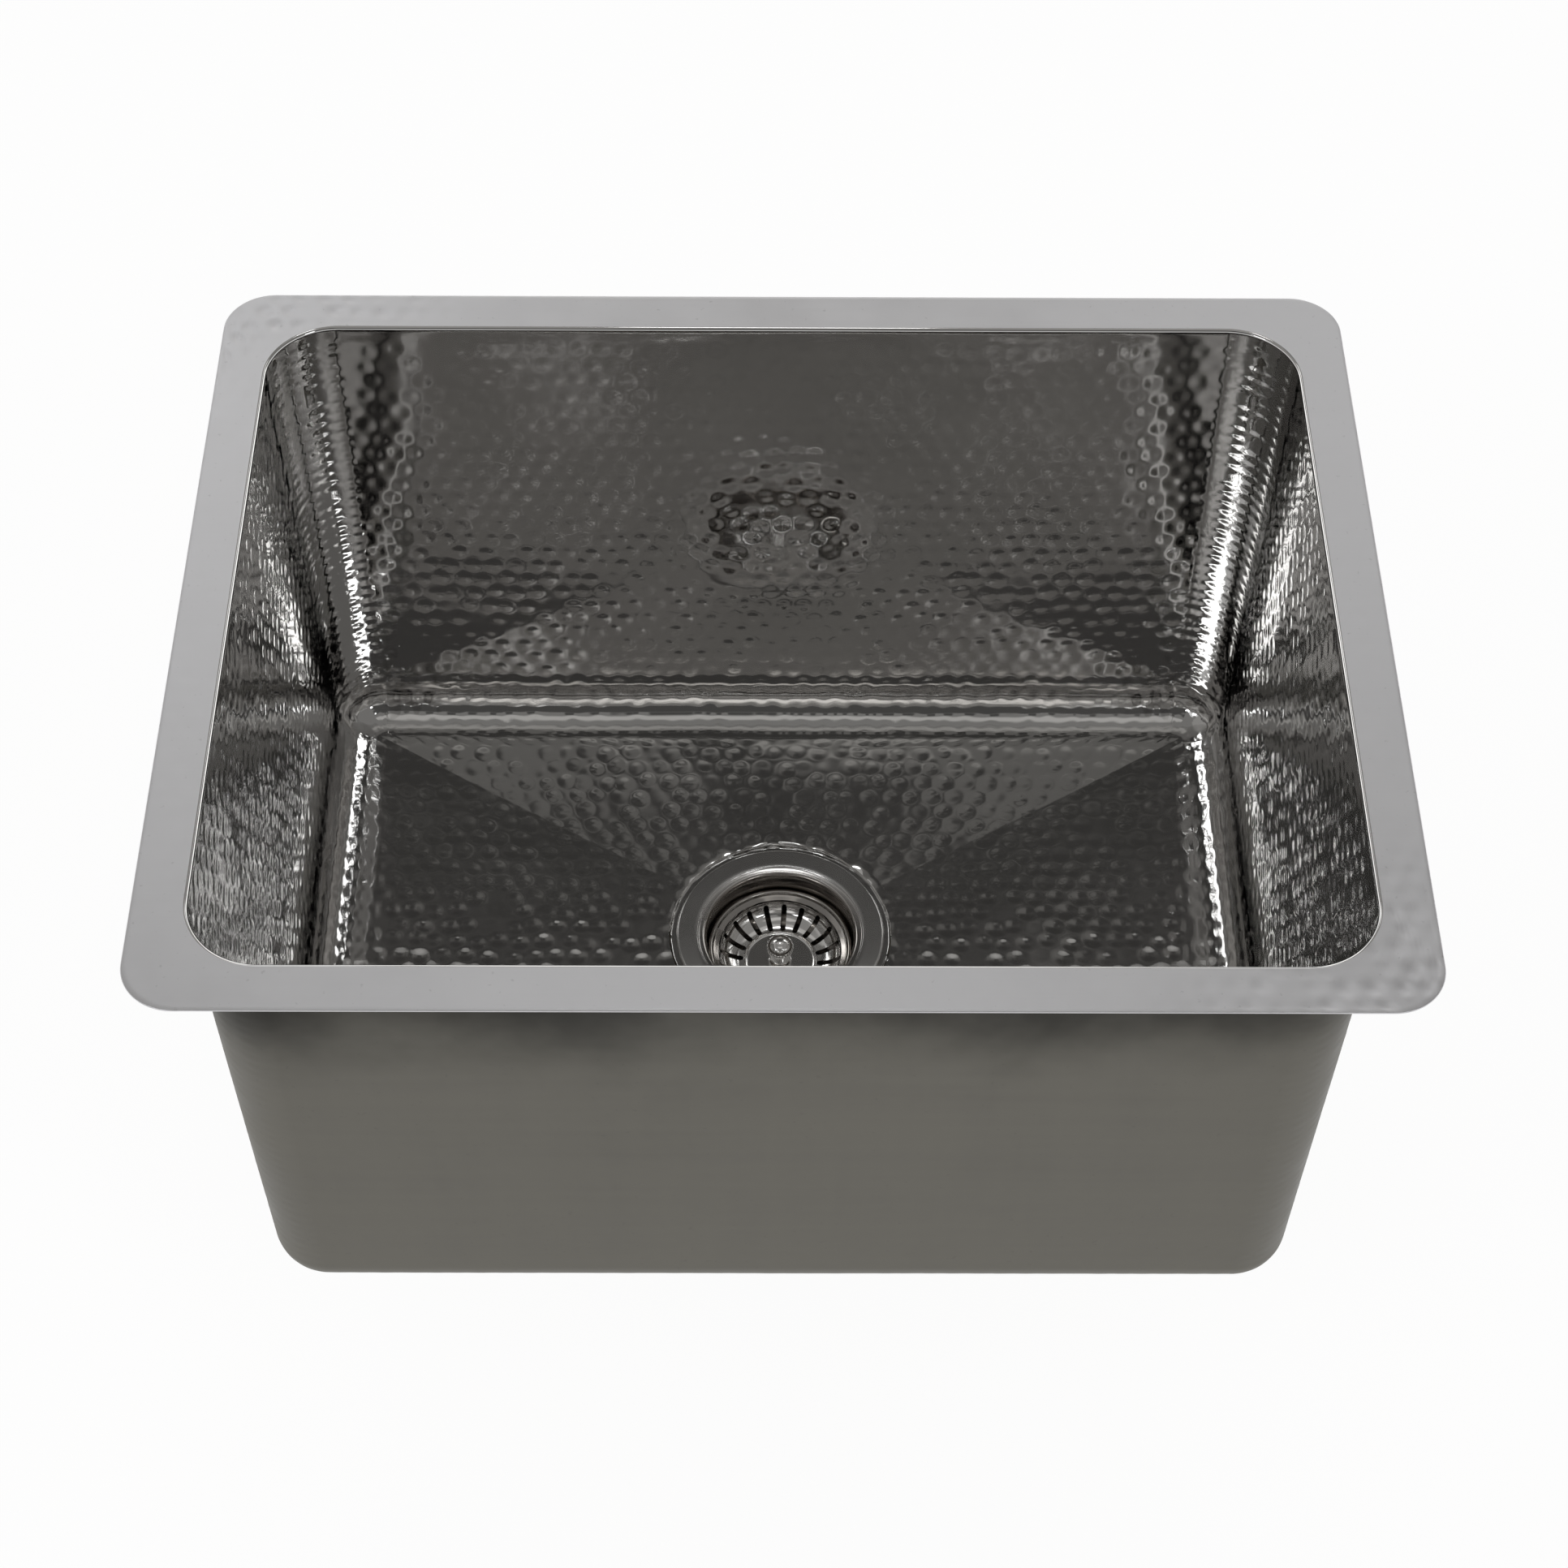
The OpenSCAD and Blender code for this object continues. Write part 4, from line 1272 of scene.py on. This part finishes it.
@dataclass(frozen=True)
class SkyPanel:
    """A soft-edged part of the room that the metal reflects, by its bearings from the sink, in degrees.

    An azimuth of 0 is to the right, 90 to the back, 180 to the left and 270 to the front. The level
    adds light, or for a card it is the share of the room's light that the card takes away.
    """

    azimuth: float
    half_width: float
    low: float
    high: float
    level: float
    edge: float = 4.0


@dataclass(frozen=True)
class Softbox:
    """A rectangular lamp with an even face that looks at the sink, by its bearings in degrees."""

    name: str
    azimuth: float
    elevation: float
    width: float
    height: float
    radiance: float
    distance: float = 3.2
    colour: tuple[float, float, float] = (0.97, 0.985, 1.0)

    def light(self, aim: Vector) -> None:
        """Add the lamp. Its power is pi times its radiance times its area.

        Args:
            aim: Point that the lamp looks at.
        """
        a, e = math.radians(self.azimuth), math.radians(self.elevation)
        way = Vector((math.cos(a) * math.cos(e), math.sin(a) * math.cos(e), math.sin(e)))
        lamp = bpy.data.lights.new(self.name, "AREA")
        lamp.shape = "RECTANGLE"
        lamp.size, lamp.size_y = self.width, self.height
        lamp.energy = math.pi * self.radiance * self.width * self.height
        lamp.color = self.colour
        obj = bpy.data.objects.new(self.name, lamp)
        obj.location = aim + way * self.distance
        obj.rotation_euler = (-way).to_track_quat("-Z", "Y").to_euler()
        obj.visible_camera = False
        bpy.context.scene.collection.objects.link(obj)


def sky_window() -> bpy.types.NodeTree:
    """A soft-edged window of directions: 1 inside its azimuths and elevations, 0 outside, in radians."""
    group, n, start, end = effect_group(
        "sky_window",
        {"Direction": (VECTOR, None), "Azimuth": (VALUE, 0.0), "Half Width": (VALUE, 0.5),
         "Low": (VALUE, 0.0), "High": (VALUE, 1.0), "Edge": (VALUE, 0.07)},
        {"Value": VALUE})
    parts = n.add("ShaderNodeSeparateXYZ")
    n.join(start.outputs["Direction"], parts.inputs[0])
    bearing = n.math("ARCTAN2", parts.outputs["Y"], parts.outputs["X"])
    off = n.math("ABSOLUTE", n.math("WRAP", n.math("SUBTRACT", bearing, start.outputs["Azimuth"]), math.pi, -math.pi))
    height = n.math("ARCSINE", parts.outputs["Z"])
    edge = start.outputs["Edge"]

    def inside(distance: bpy.types.NodeSocket) -> bpy.types.NodeSocket:
        """A smooth rise from 0 to 1 over the edge's width as the distance inside grows."""
        ramp = n.add("ShaderNodeMapRange", interpolation_type="SMOOTHSTEP")
        n.join(distance, ramp.inputs["Value"])
        n.join(edge, ramp.inputs["From Max"])
        return ramp.outputs[0]

    across = inside(n.math("SUBTRACT", start.outputs["Half Width"], off))
    above = inside(n.math("SUBTRACT", height, start.outputs["Low"]))
    below = inside(n.math("SUBTRACT", start.outputs["High"], height))
    n.join(n.math("MULTIPLY", n.math("MULTIPLY", across, above), below), end.inputs["Value"])
    return group


@dataclass
class Studio:
    """The camera, the lamps, the room that the metal reflects, and a pale floor with a low rim."""

    floor_z: float
    focal: float = 71.12
    elevation: float = 51.27
    azimuth: float = -0.48
    roll: float = 0.52
    distance: float = 1.42896
    target: tuple[float, float, float] = (0.00025, -0.1014, 0.0)
    aim: tuple[float, float, float] = (0.0, 0.0, -0.12)
    floor_r: float = 4.0
    floor_rim_r: float = 0.3
    floor_grey: tuple[float, float, float] = (0.8, 0.8, 0.8)
    floor_glow: float = 1.09
    floor_share: float = 0.85
    room_level: float = 0.25
    room_tint: tuple[float, float, float] = (1.0, 0.985, 0.96)
    backdrop: SkyPanel = SkyPanel(90.0, 200.0, -100.0, 22.0, 1.0, 5.0)
    glow: tuple[SkyPanel, ...] = (
        SkyPanel(180.0, 58.0, -8.0, 28.0, 0.65, 10.0),
        SkyPanel(0.0, 58.0, -8.0, 28.0, 0.65, 10.0),
        SkyPanel(90.0, 60.0, -8.0, 22.0, 1.4, 10.0),
        SkyPanel(90.0, 10.0, 15.0, 33.0, 1.4, 5.0),
        SkyPanel(90.0, 32.0, 24.0, 58.0, 0.13, 10.0),
        SkyPanel(90.0, 50.0, 58.0, 84.0, 0.2, 4.0),
        SkyPanel(165.0, 40.0, 22.0, 60.0, 0.12, 8.0),
        SkyPanel(270.0, 60.0, 66.0, 84.0, 0.3, 6.0),
    )
    cards: tuple[SkyPanel, ...] = (
        SkyPanel(270.0, 44.0, 34.0, 58.0, 0.66, 4.0),
        SkyPanel(270.0, 9.0, 54.0, 68.0, 0.66, 5.0),
    )
    softboxes: tuple[Softbox, ...] = (
        Softbox("front_left_softbox", 225.0, 40.5, 0.9, 0.5, 4.8),
        Softbox("front_left_panel", 209.0, 42.0, 0.78, 0.66, 0.7),
        Softbox("front_right_softbox", 307.0, 41.0, 0.74, 0.5, 5.6),
        Softbox("front_left_strip", 237.0, 47.0, 0.3, 0.2, 6.2),
        Softbox("front_right_strip", 303.0, 54.5, 0.3, 0.2, 3.8),
        Softbox("overhead_softbox", 90.0, 68.0, 0.46, 0.24, 5.5),
        Softbox("back_left_softbox", 113.0, 43.0, 0.78, 0.72, 1.2),
        Softbox("back_right_softbox", 67.0, 43.0, 0.78, 0.72, 0.8),
    )

    def camera(self) -> None:
        """Set the camera at the photograph's place, from its distance and angles to the target."""
        e, a, r = (math.radians(v) for v in (self.elevation, self.azimuth, self.roll))
        back = Vector((math.sin(a) * math.cos(e), -math.cos(a) * math.cos(e), math.sin(e)))
        right = (-back).cross(Vector((0.0, 0.0, 1.0))).normalized()
        up = right.cross(-back)
        tilted_right = math.cos(r) * right + math.sin(r) * up
        tilted_up = math.cos(r) * up - math.sin(r) * right
        cam = bpy.data.cameras.new("camera")
        cam.lens, cam.sensor_width = self.focal, 36.0
        cam.clip_start, cam.clip_end = 0.05, 60.0
        obj = bpy.data.objects.new("camera", cam)
        turn = Matrix((tilted_right, tilted_up, back)).transposed().to_4x4()
        obj.matrix_world = Matrix.Translation(Vector(self.target) + back * self.distance) @ turn
        bpy.context.scene.collection.objects.link(obj)
        bpy.context.scene.camera = obj

    def world(self) -> None:
        """The room's light by direction: an even level plus the panels, less what the cards take.

        A backdrop runs all round near the horizon. It is white, or as bright as the panels, to camera,
        glossy and transmission rays alike, so the metal shows the background that the camera sees.
        """
        world = bpy.data.worlds.new("room")
        world.use_nodes = True
        n = Nodes(world.node_tree)
        way = n.add("ShaderNodeTexCoord").outputs["Generated"]
        window = sky_window()

        def share(panel: SkyPanel) -> bpy.types.NodeSocket:
            """How far each direction is inside a panel, times the panel's level."""
            node = n.add("ShaderNodeGroup", node_tree=window, Azimuth=math.radians(panel.azimuth),
                         Half_Width=math.radians(panel.half_width), Low=math.radians(panel.low),
                         High=math.radians(panel.high), Edge=math.radians(panel.edge))
            n.join(way, node.inputs["Direction"])
            return n.math("MULTIPLY", node.outputs[0], panel.level)

        level = self.room_level
        for panel in self.glow:
            level = n.math("ADD", level, share(panel))
        for card in self.cards:
            level = n.math("MULTIPLY", level, n.math("SUBTRACT", 1.0, share(card)))
        room = n.add("ShaderNodeBackground", Color=(*self.room_tint, 1.0))
        n.join(level, room.inputs["Strength"])
        white = n.add("ShaderNodeBackground", Color=(1.0, 1.0, 1.0, 1.0))
        n.join(n.math("MAXIMUM", level, self.backdrop.level), white.inputs["Strength"])
        seen = n.math("MULTIPLY", share(self.backdrop), n.direct_rays())
        shown = n.mix_shaders(seen, room.outputs[0], white.outputs[0])
        n.join(shown, n.add("ShaderNodeOutputWorld").inputs["Surface"])
        bpy.context.scene.world = world

    def floor(self) -> None:
        """A round floor with a low rim, which keeps the shadow and can be seen through from below."""
        outline = np.concatenate([[[1e-6, 0.0]], line((0.5, 0.0), (self.floor_r, 0.0), 12),
                                  arc((self.floor_r, self.floor_rim_r), self.floor_rim_r, -90.0, 0.0, 8)])
        outline[:, 1] += self.floor_z
        rows = turned(outline, 96, (0.0, 0.0))
        quads = grid_index(len(outline), 96, True).reshape(-1, 4)[:, ::-1]
        mesh = bpy.data.meshes.new("pale_floor")
        mesh.from_pydata(rows.reshape(-1, 3).tolist(), [], quads.tolist())
        mesh.update()
        mesh.shade_smooth()
        obj = bpy.data.objects.new("pale_floor", mesh)
        bpy.context.scene.collection.objects.link(obj)
        obj.data.materials.append(self.floor_material())

    def floor_material(self) -> bpy.types.Material:
        """The floor's white: a lit surface, and an even glow for camera, glossy and transmission rays."""
        made = bpy.data.materials.new("pale_floor")
        made.use_nodes = True
        n = Nodes(made.node_tree)
        lit = n.add("ShaderNodeBsdfDiffuse", Color=(*self.floor_grey, 1.0))
        glow = n.add("ShaderNodeEmission", Color=(1.0, 1.0, 1.0, 1.0), Strength=self.floor_glow)
        direct = n.math("MULTIPLY", n.direct_rays(), self.floor_share)
        white = n.mix_shaders(direct, lit.outputs[0], glow.outputs[0])
        clear = n.add("ShaderNodeBsdfTransparent").outputs[0]
        sided = n.mix_shaders(n.add("ShaderNodeNewGeometry").outputs["Backfacing"], white, clear)
        n.join(sided, n.add("ShaderNodeOutputMaterial").inputs["Surface"])
        return made

    def build(self) -> None:
        """Set the camera, the room, the floor and every lamp."""
        self.camera()
        self.world()
        self.floor()
        for box in self.softboxes:
            box.light(Vector(self.aim))
        LOG.info("studio: %d lamps, floor at %.4f m", len(self.softboxes), self.floor_z)


# Assembly


def centre_of(node: str) -> tuple[float, float]:
    """Middle of a solid's box, seen from above."""
    low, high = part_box(node)
    return (low.x + high.x) / 2.0, (low.y + high.y) / 2.0


def dress_solids(effects: Effects) -> None:
    """Give each solid that keeps its own shape its finish.

    Args:
        effects: The shared node groups.
    """
    finishes = {
        TURNED: ("cross_bar", "stem", "stopper_plate"), CAST_ZINC: ("lock_nut",),
        PLATED: ("coupling_nut", "tailpiece"), PUTTY: ("flange_seal",), RUBBER: ("rubber_washer", "stopper"),
        FIBRE: ("friction_washer",), WHITE_PLASTIC: ("tail_washer", "spacer", "snap_peg"),
    }
    for finish, names in finishes.items():
        material = finish.material(effects)
        for name in names:
            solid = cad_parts[name]
            solid.data.materials.clear()
            solid.data.materials.append(material)
            LOG.info("%s: %s", name, finish.name)


def main() -> None:
    """Build every piece, dress it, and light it."""
    logging.basicConfig(level=logging.INFO, format="%(name)s: %(message)s")
    effects = Effects(brushed_grain(), soft_mottle(), fine_specks())
    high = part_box("sink_bowl")[1]
    drain = centre_of("strainer_body")
    bowl = Bowl(half_length=high.x, half_width=high.y, drain_y=drain[1])
    inside, outside = INSIDE_POLISHED.material(effects), OUTSIDE_BRUSHED.material(effects)
    place(bowl.rim(), RIM_SATIN.material(effects), "sink", "sink_bowl")
    for piece in bowl.uprights():
        place(piece, inside, "sink", "sink_bowl", far=outside)
    place(bowl.floor(), inside, "sink", "sink_bowl", crease=30.0, far=outside)
    low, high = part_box("strainer_body")
    strainer = Strainer(centre=drain, flange_top=high.z, flange_r=high.x - drain[0], outlet_end=low.z)
    place(strainer.body(), strainer.finish().material(effects), "sink", "strainer_body")
    basket = Basket(centre=drain, top=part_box("basket")[1].z, knob_top=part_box("knob")[1].z)
    place(basket.dish(), basket.finish().material(effects), "basket", "basket")
    place(basket.knob(), POLISHED.material(effects), "basket", "knob")
    dress_solids(effects)
    Studio(floor_z=CAD_BOX[0].z - 0.0005).build()
    bpy.context.scene.view_settings.view_transform = "Standard"


if __name__ == "__main__":
    main()
